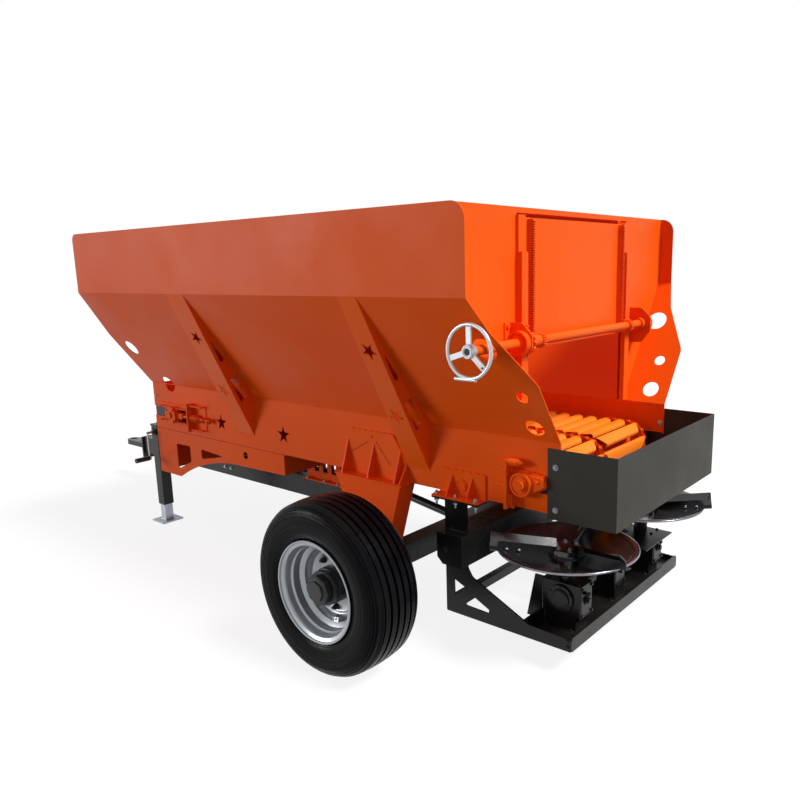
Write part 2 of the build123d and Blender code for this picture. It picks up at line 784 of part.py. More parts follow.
def gate_shaft():
    """Cross shaft with both pinions, the ratchet wheel, its sleeve and collars."""
    x = gate_shaft_x
    z = gate_shaft_z
    left = sill_half_width + gate_bearing_gap
    right = -sill_half_width - gate_bearing_gap_right
    shaft = rod_y(x, z, right - gate_shaft_stub, wheel_y - 20, gate_shaft_radius)
    for side in (-1, 1):
        shaft += Pos(x, 0, z) * along_y(pinion_face(), side * rack_y - 14, side * rack_y + 14)
    shaft += Pos(x, 0, z) * along_y(ratchet_face(), left - 32, left - 18)
    shaft += rod_y(x, z, rack_y + 14, left - 8, 26)
    shaft += rod_y(x, z, right + 8, right + 32, 29)
    return shaft


def gate_bearing(y0, side, rise, drop):
    """Flanged bearing on a plate that stands out from the rear wall."""
    x = gate_shaft_x
    z = gate_shaft_z
    y1 = y0 + side * 8
    y2 = y0 + side * 38
    plate = along_y(outline([
        (rear_wall_x, z - drop), (rear_wall_x, z + rise), (x - 4, z + rise, 28),
        (x - 54, z + 34, 20), (x - 54, z - 34, 24), (x - 6, z - drop, 18),
    ]), min(y0, y1), max(y0, y1))
    plate += box(rear_wall_x - 8, rear_wall_x, y0, y0 + side * 42, z - drop, z + rise)
    plate += rod_y(x, z, min(y1, y2), max(y1, y2), 50)
    ring = rod_y(x, z, min(y2, y2 - side * 5), max(y2, y2 - side * 5) + 1, 42)
    plate -= ring - rod_y(x, z, min(y0, y2) - 2, max(y0, y2) + 2, 33)
    return plate - rod_y(x, z, min(y0, y2) - 1, max(y0, y2) + 1,
                         gate_shaft_radius + shaft_clearance)


def gate_bearings():
    y = sill_half_width + gate_bearing_gap
    left = gate_bearing(y, 1, gate_bearing_reach, 44)
    x = gate_shaft_x + 30
    z = gate_shaft_z + ratchet_radius + 12
    left += rod_y(x, z, y - 34, y, 8)
    left += along_y(Polygon((x, z + 8), (x - 44, z + 4), (x - 44, z - 4), (x, z - 8),
                            align=None), y - 32, y - 18)
    right = gate_bearing(-sill_half_width - gate_bearing_gap_right, -1,
                         gate_bearing_reach_right, 98)
    return Part(children=[left.solids()[0], right.solids()[0]])


def handwheel():
    """Three flat spokes, a round hub, a tubular rim and the grip along its foot."""
    x = gate_shaft_x
    z = gate_shaft_z
    mid_radius = wheel_radius - wheel_rim_radius
    centre = Plane((x, wheel_y, z), z_dir=(0, 1, 0))
    wheel = centre * Torus(mid_radius, wheel_rim_radius)
    wheel += rod_y(x, z, wheel_y - 20, wheel_y + 12, 25)
    grip_z = z - mid_radius - grip_radius / 2
    wheel += rod((x - 30, wheel_y, grip_z), (x + 66, wheel_y, grip_z), grip_radius)
    for turn in (90, 222, 342):
        a = radians(turn)
        spoke = Box(mid_radius, 7, 21)
        wheel += Pos(x + mid_radius / 2 * cos(a), wheel_y, z + mid_radius / 2 * sin(a)) * Rot(
            0, -turn, 0) * spoke
    return wheel


# ---------------------------------------------------------------- spinner unit
def rear_brackets():
    """Gusseted brackets on the sills that the spinner frame is bolted under."""
    y0 = sill_half_width
    front_x = frame_front_x + bracket_front_reach
    rear_x = frame_front_x - bracket_rear_reach
    low = sill_bottom_z
    top = low + bracket_height
    plate = along_y(outline([
        (front_x - 3, low), (front_x - 13, top, 8), (rear_x + 1, top, 8), (rear_x + 1, low),
    ]), y0, y0 + 8)
    plate += rod_y((front_x + rear_x) / 2 + 3, low + 46, y0 + 7, y0 + 11, 28)
    plate += box(rear_x, front_x, y0 - 6, y0 + flange_reach, low - 8, low)
    for share in (0.28, 0.72):
        x = rear_x + (front_x - rear_x) * share
        web = Polygon((y0 + 8, low), (y0 + flange_reach - 16, low), (y0 + 8, top - 21),
                      align=None)
        plate += along_x(web, x - 3, x + 3)
    return both(plate)


def spinner_frame():
    """Side plates with their cut-outs, cross beam, front bar, base and rear lip."""
    outer = frame_half_width
    inner = frame_half_width - frame_sheet
    front = frame_front_x
    rear = frame_rear_x
    top = sill_bottom_z - 8
    low = frame_bottom_z
    plate = outline([
        (front, top), (front, low, 8), (rear, low, 8), (rear, frame_lip_z - 8, 6),
        (rear + 210, frame_lip_z, 40), (front - 150, 305, 30), (front - upright_width, 345, 20),
        (front - upright_width, top),
    ])
    side = along_y(plate, inner, outer)
    cut_upper = [(front - 46, 272, 5), (front - 116, 242, 5), (front - 48, 186, 5)]
    cut_lower = [(front - 104, 158, 5), (front - 166, 209, 5), (front - 244, 172, 5),
                 (front - 240, 154, 5)]
    for cut in (cut_upper, cut_lower):
        side -= along_y(outline(cut), inner - 1, outer + 1)
    side += box(front - bracket_rear_reach, front + bracket_front_reach, sill_half_width - 6,
                sill_half_width + flange_reach, top - 8, top)
    frame = side + other_side(side)
    span = outer + beam_overhang
    beam = outline([
        (front, beam_low_z + 30), (front, beam_high_z), (front - beam_width, beam_high_z),
        (front - beam_width, beam_low_z), (front - 30, beam_low_z),
    ])
    frame += along_y(beam, -span, span)
    frame += box(front - crossbar_back, front - crossbar_back + crossbar_size, -inner, inner,
                 crossbar_low_z, crossbar_low_z + crossbar_size)
    frame += box(rear, front - base_plate_back, -inner, inner, base_top_z - 8, base_top_z)
    frame += box(rear, rear + 8, -inner, inner, low, frame_lip_z)
    frame += box(rear, rear + 40, -inner, inner, low, low + 6)
    return frame


def gearboxes():
    """Two spinner gearboxes on their feet, and the driven one between them."""
    half_x = gearbox_length / 2
    half_y = gearbox_width / 2
    half_z = gearbox_height / 2
    x = spinner_x
    z = gearbox_z
    solids = []
    for y in (-spinner_y, spinner_y):
        out = 1 if y > 0 else -1
        case = Pos(x, y, z) * Box(gearbox_length, gearbox_width, gearbox_height)
        case = fillet(case.edges().filter_by(Axis.Z), 10)
        case += box(x - half_x + 24, x + half_x - 24, y - half_y, y + half_y,
                    base_top_z, z - half_z)
        case += rod_y(x, z, y - half_y - 10, y + half_y + 10, 62)
        face = y + out * half_y
        case += rod_y(x, z, min(face, face + out * 16), max(face, face + out * 16), 44)
        case += rod((x - half_x - 5, y, z), (x + half_x, y, z), 22)
        case += rod((x, y, z + half_z), (x, y, post_top_z), 32)
        case += rod((x, y, post_top_z - 12), (x, y, post_top_z), 44)
        case += along_y(Polygon((x + half_x, base_top_z), (x + half_x + 84, base_top_z),
                                (x + half_x + 42, z + half_z), (x + half_x, z + half_z),
                                align=None), y + out * 30, y + out * 38)
        if y < 0:
            case += box(x - 150, x + 30, y - 46, y + 262, z + half_z, z + half_z + 5)
        case -= rod((x, y, post_top_z - 40), (x, y, post_top_z + 1), 25.05)
        solids.append(case.solids()[0])
    low = base_top_z
    case = box(x - 74, x + half_x, -half_y, half_y, low, z + half_z)
    case = fillet(case.edges().filter_by(Axis.Z), 10)
    case += rod_y(x, z, -half_y - 12, half_y + 12, 56)
    case += rod((x + half_x, 0, input_z), (x + half_x + 30, 0, input_z), 40)
    solids.append(case.solids()[0])
    return Part(children=solids)


def line_shafts():
    """Shafts with couplings from the driven gearbox to its neighbours."""
    near = gearbox_width / 2 + 12
    far = spinner_y - gearbox_width / 2 - 10
    middle = (near + far) / 2
    shaft = rod_y(spinner_x, gearbox_z, near, far, 18)
    shaft += rod_y(spinner_x, gearbox_z, middle - 32, middle + 32, 30)
    return both(shaft)


def disc_height(r):
    """Top face of the dished disc at a radius."""
    if r <= disc_flat:
        return disc_centre_z
    return disc_centre_z + (disc_rim_z - disc_centre_z) * (r - disc_flat) / (
        disc_radius - disc_flat)


def spinner_disc(side):
    """Dished disc on its hub and upright shaft."""
    y = side * spinner_y
    t = disc_sheet
    profile = [
        (0, disc_centre_z), (disc_flat, disc_centre_z), (disc_radius, disc_rim_z),
        (disc_radius, disc_rim_z - t), (disc_flat, disc_centre_z - t), (62, disc_centre_z - t),
        (62, disc_centre_z - t - 10), (38, disc_centre_z - t - 16), (38, post_top_z + 6),
        (25, post_top_z + 6), (25, post_top_z - 38), (0, post_top_z - 38),
    ]
    plane = Plane((spinner_x, y, 0), x_dir=(1, 0, 0), z_dir=(0, -1, 0))
    return revolve(plane * Polygon(*profile, align=None), Axis((spinner_x, y, 0), (0, 0, 1)))


def spinner_blades(side):
    """Throwing blades seated on the disc: foot flange, web and a lip that leans back."""
    y = side * spinner_y
    rise = degrees(atan2(disc_rim_z - disc_centre_z, disc_radius - disc_flat))
    length = blade_tip_radius - blade_root_radius
    lip = blade_height - blade_web
    t = blade_sheet
    section = Polygon((0, 0), (blade_flange, 0), (blade_flange, t), (t, t), (t, blade_web),
                      (t - lip, blade_height), (-lip, blade_height - t), (0, blade_web - t),
                      align=None)
    channel = extrude(Plane.YZ * section, length, dir=(1, 0, 0))
    disc = spinner_disc(side)
    solids = []
    for i in range(blade_count):
        turn = side * (blade_start_deg + 360 / blade_count * i)
        blade = channel if side > 0 else mirror(channel, about=Plane.XZ)
        start = disc_height(blade_root_radius) - 10
        place = Pos(spinner_x, y, start) * Rot(0, 0, turn) * Pos(blade_root_radius, 0, 0)
        blade = place * Rot(0, -rise, 0) * blade
        solids.append((blade - disc).solids().sort_by(SortBy.VOLUME)[-1])
    return Part(children=solids)


def deflector():
    """Three-sided sheet guard behind the conveyor's end."""
    y1 = sill_half_width + deflector_sheet
    outer = box(deflector_rear_x, deflector_front_x, -y1, y1, deflector_low_z, deflector_high_z)
    inner = box(deflector_rear_x + deflector_sheet, deflector_front_x + 1,
                -sill_half_width, sill_half_width, deflector_low_z - 1, deflector_high_z + 1)
    return outer - inner


# ---------------------------------------------------------------- drawbar, driveline, jack
def drawbar():
    """Hollow beam under the machine, end plate, and the hitch tongue with its eye."""
    y = drawbar_width / 2
    beam = box(drawbar_rear_x, drawbar_front_x, -y, y, drawbar_low_z, drawbar_high_z)
    beam -= box(drawbar_rear_x - 1, drawbar_front_x - 10, -y + drawbar_wall, y - drawbar_wall,
                drawbar_low_z + drawbar_wall, drawbar_high_z - drawbar_wall)
    beam += box(drawbar_front_x, drawbar_front_x + 16, -y - 15, y + 15,
                drawbar_low_z - 50, drawbar_high_z)
    half = tongue_width / 2
    eye_x = tongue_tip_x - half
    tongue = box(drawbar_front_x + 16, eye_x, -half, half, tongue_low_z, tongue_high_z)
    tongue += rod((eye_x, 0, tongue_low_z), (eye_x, 0, tongue_high_z), half)
    tongue -= rod((eye_x, 0, tongue_low_z - 1), (eye_x, 0, tongue_high_z + 1), eye_radius)
    web = Polygon((drawbar_front_x + 16, tongue_low_z),
                  (drawbar_front_x + tongue_web_reach, tongue_low_z),
                  (drawbar_front_x + 16, drawbar_low_z - 46), align=None)
    return beam + tongue + along_y(web, -8, 8)


def drawbar_hanger():
    """Pair of slotted plates from the cross plate down to the beam."""
    rear_x = panel_rear_x + cross_plate_sheet
    front_x = rear_x + hanger_length
    y0 = drawbar_width / 2 - 5
    low = drawbar_high_z
    plate = box(rear_x, front_x, y0, y0 + 8, low, panel_arch_z + hanger_rise)
    for i in range(4):
        x = front_x - hanger_slot_first - hanger_slot_pitch * i
        plate -= box(x - hanger_slot_width, x, y0 - 1, y0 + 9, low + hanger_slot_low,
                     low + hanger_slot_low + hanger_slot_height)
    plate += box(rear_x, front_x, y0 + 8, y0 + 44, low, low + 8)
    return both(plate)


def pto_line():
    """Front shaft with its splined stub, cross joint, and the shaft to the gearbox."""
    end_x = spinner_x + gearbox_length / 2 + 30
    line = rod((pto_joint_x, 0, pto_z), (sill_front_x + 24, 0, pto_z), pto_radius)
    line += rod((sill_front_x, 0, pto_z),
                (sill_front_x + 24 + pto_stub_length, 0, pto_z), pto_stub_radius)
    line += rod((end_x + 60, 0, input_z + 60 * (pto_z - input_z) / (pto_joint_x - end_x)),
                (pto_joint_x, 0, pto_z), pto_radius)
    line += Pos(pto_joint_x, 0, pto_z) * Sphere(36)
    line += rod((end_x, 0, input_z), (end_x + 64, 0, input_z), 30)
    return line


def jack_tube():
    """Square outer tube on its mounting plate, with the gear head's cap."""
    x0 = sill_front_x
    y0 = jack_y - jack_size / 2
    y1 = jack_y + jack_size / 2
    tube = box(x0 + 6, x0 + 6 + jack_size, y0, y1, jack_low_z, jack_high_z)
    inner = jack_inner_size + 0.6
    centre_x = x0 + 6 + jack_size / 2
    tube -= box(centre_x - inner / 2, centre_x + inner / 2, jack_y - inner / 2,
                jack_y + inner / 2, jack_low_z - 1, jack_high_z - 60)
    tube += box(x0, x0 + 6, jack_y - jack_size, sill_inner, 440, 640)
    tube += box(x0 + 2, x0 + 10 + jack_size, y0 - 4, y1 + 4, jack_high_z, jack_high_z + 12)
    return tube


def jack_leg():
    """Inner tube and the foot plate on the floor."""
    centre_x = sill_front_x + 6 + jack_size / 2
    half = jack_inner_size / 2
    leg = box(centre_x - half, centre_x + half, jack_y - half, jack_y + half,
              foot_sheet, jack_high_z - 160)
    return leg + box(centre_x - foot_width / 2, centre_x + foot_width / 2,
                     jack_y - foot_length / 2, jack_y + foot_length / 2, 0, foot_sheet)


def jack_crank():
    """Cranked handle at the outboard face of the jack, with its grip."""
    x = sill_front_x + 6 + jack_size / 2
    face = jack_y + jack_size / 2
    z = jack_high_z - 40
    arm_y = face + 50
    crank = rod_y(x, z, face, arm_y + 6, 9)
    crank += rod((x, arm_y, z), (x, arm_y, z - crank_throw), 5.5)
    crank += rod_y(x, z - crank_throw, arm_y - 6, arm_y + crank_grip, 13)
    return crank


# ---------------------------------------------------------------- write every node
os.makedirs("parts", exist_ok=True)
side_wall = hopper_side()
save("hopper_left", side_wall)
save("hopper_right", other_side(side_wall))
save("hopper_rear_wall", hopper_rear_wall())
save("hopper_front_wall", hopper_front_wall())
side_sill = sill()
save("sill_left", side_sill)
save("sill_right", other_side(side_sill))
save("front_panels", both(front_panel()))
save("cross_plates", cross_plates())
save("hopper_struts", hopper_struts())
save("wheel_legs", both(wheel_leg()))
save("axle", axle())
save("conveyor_chain", conveyor_chain())
save("conveyor_deck", conveyor_deck())
save("drive_shaft", shaft_with_sprockets(drive_shaft_x, drive_shaft_radius))
save("idler_shaft", shaft_with_sprockets(idler_shaft_x, idler_shaft_radius))
save("take_ups", both(take_up()))
save("drive_bearings", both(drive_bearing()))
save("gate_guides", both(gate_guide()))
save("gate_bearings", gate_bearings())
save("rear_brackets", rear_brackets())
save("spinner_frame", spinner_frame())
save("gearboxes", gearboxes())
save("line_shafts", line_shafts())
save("deflector", deflector())
save("drawbar", drawbar())
save("drawbar_hanger", drawbar_hanger())
save("pto_line", pto_line())
save("jack_tube", jack_tube())
save("jack_leg", jack_leg())
save("jack_crank", jack_crank())
save("gate_panel", gate_panel())
save("gate_racks", both(rack()))
save("gate_shaft", gate_shaft())
save("handwheel", handwheel())
for side, name in ((1, "left"), (-1, "right")):
    save("tyre_" + name, tyre(side))
    save("rim_" + name, rim(side))
    save("hub_" + name, hub(side))
    save("spinner_disc_" + name, spinner_disc(side))
    save("spinner_blades_" + name, spinner_blades(side))
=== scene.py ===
import json
from math import atan2, cos, pi, radians, sin

import bmesh
import bpy
from mathutils import Matrix, Vector


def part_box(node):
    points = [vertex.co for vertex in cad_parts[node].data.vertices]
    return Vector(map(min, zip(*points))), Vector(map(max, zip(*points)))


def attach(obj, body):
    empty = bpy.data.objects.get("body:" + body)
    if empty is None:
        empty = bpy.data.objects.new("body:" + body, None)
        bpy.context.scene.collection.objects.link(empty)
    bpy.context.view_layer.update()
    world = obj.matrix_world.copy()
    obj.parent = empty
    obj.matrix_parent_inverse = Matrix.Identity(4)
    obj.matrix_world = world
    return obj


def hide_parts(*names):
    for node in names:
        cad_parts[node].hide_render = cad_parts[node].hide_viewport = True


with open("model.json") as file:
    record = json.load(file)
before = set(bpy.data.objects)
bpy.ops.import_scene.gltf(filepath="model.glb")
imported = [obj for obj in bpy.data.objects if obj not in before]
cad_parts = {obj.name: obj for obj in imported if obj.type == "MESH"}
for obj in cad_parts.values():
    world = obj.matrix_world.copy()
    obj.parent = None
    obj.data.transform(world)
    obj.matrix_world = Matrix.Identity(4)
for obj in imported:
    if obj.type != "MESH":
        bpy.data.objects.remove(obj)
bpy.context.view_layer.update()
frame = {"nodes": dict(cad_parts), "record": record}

# Looks of the towed manure spreader. Metres; +X to the hitch, +Y its left, +Z up.

scene = bpy.context.scene
sides = (("left", 1), ("right", -1))


# ---------- places, from the frame
def node_middle(node, axis):
    """The middle of a node's box along one axis."""
    low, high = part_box(node)
    return (getattr(low, axis) + getattr(high, axis)) / 2


sill_low, sill_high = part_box("sill_left")
face = sill_high.y  # the left sill's face; its brackets end at its foot
low = sill_low.z
inner_face = face - 0.006  # the sill's sheet is 6 mm thick
drive_x = node_middle("drive_shaft", "x")
idler_x = node_middle("idler_shaft", "x")
conveyor_z = node_middle("drive_shaft", "z")
chain_low, chain_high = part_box("conveyor_chain")
wheel_x, wheel_y, wheel_z = (node_middle("tyre_left", axis) for axis in "xyz")
spin_x, spin_y = (node_middle("spinner_disc_left", axis) for axis in "xy")
disc_low, disc_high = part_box("spinner_disc_left")
disc_radius = (disc_high.x - disc_low.x) / 2
disc_rise = 0.033  # rim above the flat centre
disc_centre_z = disc_high.z - disc_rise
gate_low, gate_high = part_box("gate_panel")
rear_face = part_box("hopper_rear_wall")[0].x
gate_shaft_x = node_middle("handwheel", "x")
gate_shaft_z = node_middle("gate_shaft", "z")
gate_shaft_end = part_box("gate_shaft")[0].y
strut_foot, strut_bend = (corner.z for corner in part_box("hopper_struts"))
band_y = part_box("hopper_left")[1].y  # face of the hopper's upright band


# ---------- materials
def srgb(red, green, blue):
    """A colour written as on a screen, 0 to 255, as linear light."""
    out = []
    for value in (red, green, blue):
        value /= 255
        out.append(value / 12.92 if value <= 0.04045 else ((value + 0.055) / 1.055) ** 2.4)
    return (*out, 1)


def set_inputs(tree, node, inputs):
    """Set a node's inputs to values, or link them to sockets."""
    for key, value in inputs.items():
        if isinstance(value, bpy.types.NodeSocket):
            tree.links.new(value, node.inputs[key])
        else:
            node.inputs[key].default_value = value


def add_node(tree, kind, inputs, **settings):
    node = tree.nodes.new("ShaderNode" + kind)
    for key, value in settings.items():
        setattr(node, key, value)
    set_inputs(tree, node, inputs)
    return node


def noise(tree, scale, detail):
    """Noise in the object's own space."""
    place = tree.nodes.new("ShaderNodeTexCoord").outputs["Object"]
    texture = add_node(tree, "TexNoise", {"Vector": place, "Scale": scale, "Detail": detail})
    return texture.outputs["Fac"]


def spread(tree, value, low, high, out_low, out_high):
    """A value spread from one range to another."""
    node = add_node(tree, "MapRange", {
        "Value": value, "From Min": low, "From Max": high, "To Min": out_low, "To Max": out_high})
    return node.outputs["Result"]


def two_tone(tree, fac, first, second):
    """One colour where the value is 0 and the other where it is 1; either may be a socket."""
    node = add_node(tree, "Mix", {"Factor": fac, "A": first, "B": second}, data_type="RGBA")
    return node.outputs["Result"]


def background_seen(tree):
    """1 for a ray that shows the background: to the camera, in a mirror or through glass."""
    paths = tree.nodes.new("ShaderNodeLightPath")
    seen = paths.outputs["Is Camera Ray"]
    for key in ("Is Glossy Ray", "Is Transmission Ray"):
        either = add_node(tree, "Math", {0: seen, 1: paths.outputs[key]}, operation="MAXIMUM")
        seen = either.outputs["Value"]
    return seen


def new_material(name, look):
    """A material whose shader's inputs are what look(tree) gives."""
    material = bpy.data.materials.new(name)
    material.use_nodes = True
    tree = material.node_tree
    set_inputs(tree, tree.nodes["Principled BSDF"], look(tree))
    return material


def finish(name, light, dark, rough, ripple, specular=0.5, dust=0, grain=(3, 3),
           metallic=0, coat=0):
    """A surface with uneven tone and gloss, a slight ripple, and dust in patches."""
    light, dark, earth = srgb(*light), srgb(*dark), srgb(150, 120, 96)

    def look(tree):
        clouds = spread(tree, noise(tree, 1.6, 3), 0.3, 0.7, 0, 1)
        colour = two_tone(tree, clouds, dark, light)
        specks = spread(tree, noise(tree, 90, 4), 0.35, 0.7, 0, 0.35)
        colour = two_tone(tree, specks, colour, dark)
        if dust:
            patches = spread(tree, noise(tree, 5, 8), 0.5, 0.78, 0, dust)
            colour = two_tone(tree, patches, colour, earth)
        gloss = spread(tree, noise(tree, *grain), 0.3, 0.7, *rough)
        bump = add_node(tree, "Bump", {"Height": noise(tree, 14, 3), "Distance": ripple})
        return {"Base Color": colour, "Roughness": gloss, "Normal": bump.outputs["Normal"],
                "Metallic": metallic, "Specular IOR Level": specular, "Coat Weight": coat,
                "Coat Roughness": 0.12}
    return new_material(name, look)


# light and dark tone as on a screen, roughness from and to, depth of the ripple, and what
# differs from finish's own values
finishes = {
    "orange_paint": (
        (253, 99, 18), (246, 89, 13), (0.32, 0.46), 0.0007, dict(specular=0.09, dust=0.03)),
    # the struts' orange, a little lighter than the hopper's: painted light for the brighter light
    # on their webs
    "strut_lit_orange": (
        (255, 105, 22), (251, 97, 17), (0.32, 0.46), 0.0007, dict(specular=0.12, dust=0.03)),
    "chain_orange": (
        (255, 146, 34), (248, 122, 24), (0.4, 0.6), 0.0006, dict(specular=0.3, dust=0.08)),
    "black_paint": (
        (26, 26, 26), (19, 19, 20), (0.2, 0.34), 0.0006, dict(specular=0.26, dust=0.05)),
    "deflector": (
        (56, 54, 48), (50, 48, 43), (0.42, 0.55), 0.0006, dict(specular=0.16, dust=0.06)),
    "disc_gloss": ((20, 21, 25), (14, 15, 18), (0.1, 0.2), 0.0005, dict(coat=0.5)),
    "tyre": ((9, 10, 14), (5, 6, 9), (0.2, 0.34), 0.0004,
             dict(specular=0.06, dust=0.015, grain=(40, 5))),
    "rim_silver": ((186, 190, 194), (170, 174, 179), (0.24, 0.36), 0.0003, dict(metallic=0.5)),
    "hub_black": ((22, 22, 24), (15, 15, 17), (0.3, 0.5), 0.0004, dict(specular=0.4)),
    "bright_steel": (
        (204, 205, 208), (184, 186, 190), (0.24, 0.36), 0.0001, dict(grain=(20, 3), metallic=0.6)),
    "worn_edge": (
        (150, 153, 160), (96, 98, 104), (0.14, 0.34), 0.0002, dict(grain=(26, 5), metallic=0.9)),
    # a dark red for painted shade along seams and under the sill
    "seam_painted_shade": ((92, 26, 12), (70, 18, 9), (0.5, 0.7), 0.0003, dict(specular=0.1)),
    # a darker red for painted shade, in the racks' tooth gaps and on the gate's top fold
    "painted_shade_red": ((226, 60, 18), (205, 50, 14), (0.5, 0.7), 0.0003, dict(specular=0.05)),
    "zinc": (
        (178, 182, 188), (120, 125, 133), (0.22, 0.4), 0.0003, dict(grain=(80, 4), metallic=0.85)),
    "foot_zinc": (
        (214, 220, 230), (186, 194, 206), (0.3, 0.5), 0.0003, dict(grain=(30, 4), metallic=0.5)),
}
materials = {name: finish(name, *look, **more) for name, (*look, more) in finishes.items()}

# nodes whose finish differs from the one that the record gives their slot; the struts' lighter
# orange is painted light
own_finish = {"deflector": "deflector", "jack_leg": "foot_zinc", "hopper_struts": "strut_lit_orange"}
for part in frame["record"]["subparts"]:
    node = frame["nodes"][part["node"]]
    node.data.materials.clear()
    look = own_finish.get(part["node"], part["material_slot"])
    node.data.materials.append(materials[look])


# ---------- mesh helpers
def put_in_scene(name, data):
    made = bpy.data.objects.new(name, data)
    scene.collection.objects.link(made)
    return made


def facing(place, axis, spin=0):
    """A turn and shift that point local Z along an axis."""
    turn = Vector(axis).to_track_quat("Z", "Y").to_matrix().to_4x4()
    return Matrix.Translation(place) @ turn @ Matrix.Rotation(spin, 4, "Z")


def polar(radius, angle):
    return radius * cos(angle), radius * sin(angle)


def add_lathe(bm, matrix, profile, steps, closed=False):
    """A profile of (radius, height) turned about local Z; ends at radius 0 are points."""
    rings = []
    for radius, height in profile:
        if radius < 1e-6:
            rings.append([bm.verts.new(matrix @ Vector((0, 0, height)))])
            continue
        rings.append([bm.verts.new(matrix @ Vector((*polar(radius, 2 * pi * i / steps), height)))
                      for i in range(steps)])
    pairs = list(zip(rings, rings[1:]))
    if closed:
        pairs.append((rings[-1], rings[0]))
    for low, high in pairs:
        for i in range(steps):
            j = (i + 1) % steps
            corners = [low[i % len(low)], low[j % len(low)], high[j % len(high)],
                       high[i % len(high)]]
            corners = list(dict.fromkeys(corners))
            if len(corners) > 2:
                bm.faces.new(corners)


def add_turned(bm, place, axis, profile, steps, closed=False):
    """A profile turned about an axis through a place."""
    add_lathe(bm, facing(place, axis), profile, steps, closed)


def add_disc(bm, matrix, radius, height, steps, edge=0):
    """A short round block with a chamfered top edge."""
    add_lathe(bm, matrix, [(0, 0), (radius, 0), (radius, height - edge),
                           (radius - edge, height), (0, height)], steps)


def add_bolt(bm, place, axis, size, spin=0, washer=True, stud=False):
    """Hex head, as wide as twice its size, on a washer; a stud shows its threaded end."""
    base = facing(place, axis, spin)
    washer_height = 0
    if washer:
        washer_height = size * 0.22
        add_disc(bm, base, size * 1.3, washer_height, 20, size * 0.06)
    head_height = size * 0.78
    head = base @ Matrix.Translation((0, 0, washer_height))
    add_lathe(bm, head, [(0, 0), (size, 0), (size, size * 0.62), (size * 0.84, head_height),
                         (0, head_height)], 6)
    if stud:
        tip = head @ Matrix.Translation((0, 0, head_height))
        add_disc(bm, tip, size * 0.48, size * 0.42, 14, size * 0.08)


def add_bolt_ring(bm, centre, axis, radius, count, size, washer=False):
    """Bolts on a circle about an axis along Y or Z, the first half a step round from X."""
    x, y, z = centre
    for i in range(count):
        a = 2 * pi * (i + 0.5) / count
        across, up = polar(radius, a)
        place = (x + across, y + up, z) if axis[2] else (x + across, y, z + up)
        add_bolt(bm, place, axis, size, a, washer)


def add_box(bm, low, high, edge=0):
    """A block between two corners, its edges eased."""
    made = bmesh.ops.create_cube(bm, size=1)["verts"]
    low, high = Vector(low), Vector(high)
    for vert in made:
        vert.co = Vector((low[i] + (vert.co[i] + 0.5) * (high[i] - low[i]) for i in range(3)))
    if edge:
        edges = {e for v in made for e in v.link_edges}
        bmesh.ops.bevel(bm, geom=list(edges), offset=edge, segments=1, affect="EDGES")


def bridge(bm, low, high):
    """Faces between two rings of as many points."""
    for i in range(len(low)):
        j = (i + 1) % len(low)
        bm.faces.new((low[i], low[j], high[j], high[i]))


def add_plate(bm, outline, shift):
    """A flat outline of 3-D points, thickened by a shift."""
    near = [bm.verts.new(p) for p in outline]
    far = [bm.verts.new(Vector(p) + Vector(shift)) for p in outline]
    bm.faces.new(near)
    bm.faces.new(far[::-1])
    bridge(bm, far, near)


def add_tube(bm, points, radius, swell=lambda i: 1):
    """A tube along points; swell changes its radius from point to point."""
    points = [Vector(p) for p in points]
    corners = [polar(1, 2 * pi * k / 6) for k in range(6)]
    rings = []
    for i, point in enumerate(points):
        ahead = points[min(i + 1, len(points) - 1)] - points[max(i - 1, 0)]
        base = facing(point, ahead)
        r = radius * swell(i)
        rings.append([bm.verts.new(base @ Vector((r * x, r * y, 0))) for x, y in corners])
    for low, high in zip(rings, rings[1:]):
        bridge(bm, low, high)
    bm.faces.new(rings[0][::-1])
    bm.faces.new(rings[-1])


def piece(name, bm, slot, body="root", hard=35, replaces=(), look=None):
    """A mesh object riding on a body; its finish is its slot's, or a look of its own."""
    bmesh.ops.recalc_face_normals(bm, faces=bm.faces)
    for face in bm.faces:
        face.smooth = True
    for edge in bm.edges:
        if len(edge.link_faces) == 2 and edge.calc_face_angle(0) > radians(hard):
            edge.smooth = False
    mesh = bpy.data.meshes.new(name)
    bm.to_mesh(mesh)
    bm.free()
    mesh.materials.append(materials[look or slot])
    made = put_in_scene(name, mesh)
    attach(made, body)
    if replaces:
        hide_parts(*replaces)


def mirrored(x, y, z, side):
    """A point on the left side, or its mirror image on the right."""
    return (x, y * side, z)


def beside(y, thick, side):
    """Where a sheet of a thickness lies on a left or right face: its lower and higher y."""
    return sorted((y * side, (y + thick) * side))


def add_weld(bm, start, end, radius=0.0028, dash=0, gap=0):
    """A rippled bead from point to point, whole or in dashes."""
    start, end = Vector(start), Vector(end)
    length = (end - start).length
    ahead = (end - start) / length
    dash = dash or length
    shortest = 0.004
    ripple = 0.005
    at = 0
    while at < length - shortest:
        stop = min(at + dash, length)
        count = max(3, round((stop - at) / ripple))
        points = [start + ahead * (at + (stop - at) * i / count) for i in range(count + 1)]
        add_tube(bm, points, radius, swell=lambda i: 1 if i % 2 else 0.78)
        at = stop + gap


# ---------- wheels
tyre_steps = 120
nut_circle = 0.108
cap_bolt_circle = 0.0718
valve_circle = 0.15
valve_angle = radians(-80)
tread_radius = 0.3799
tread_half_width = 0.084
groove_floor = 0.3675


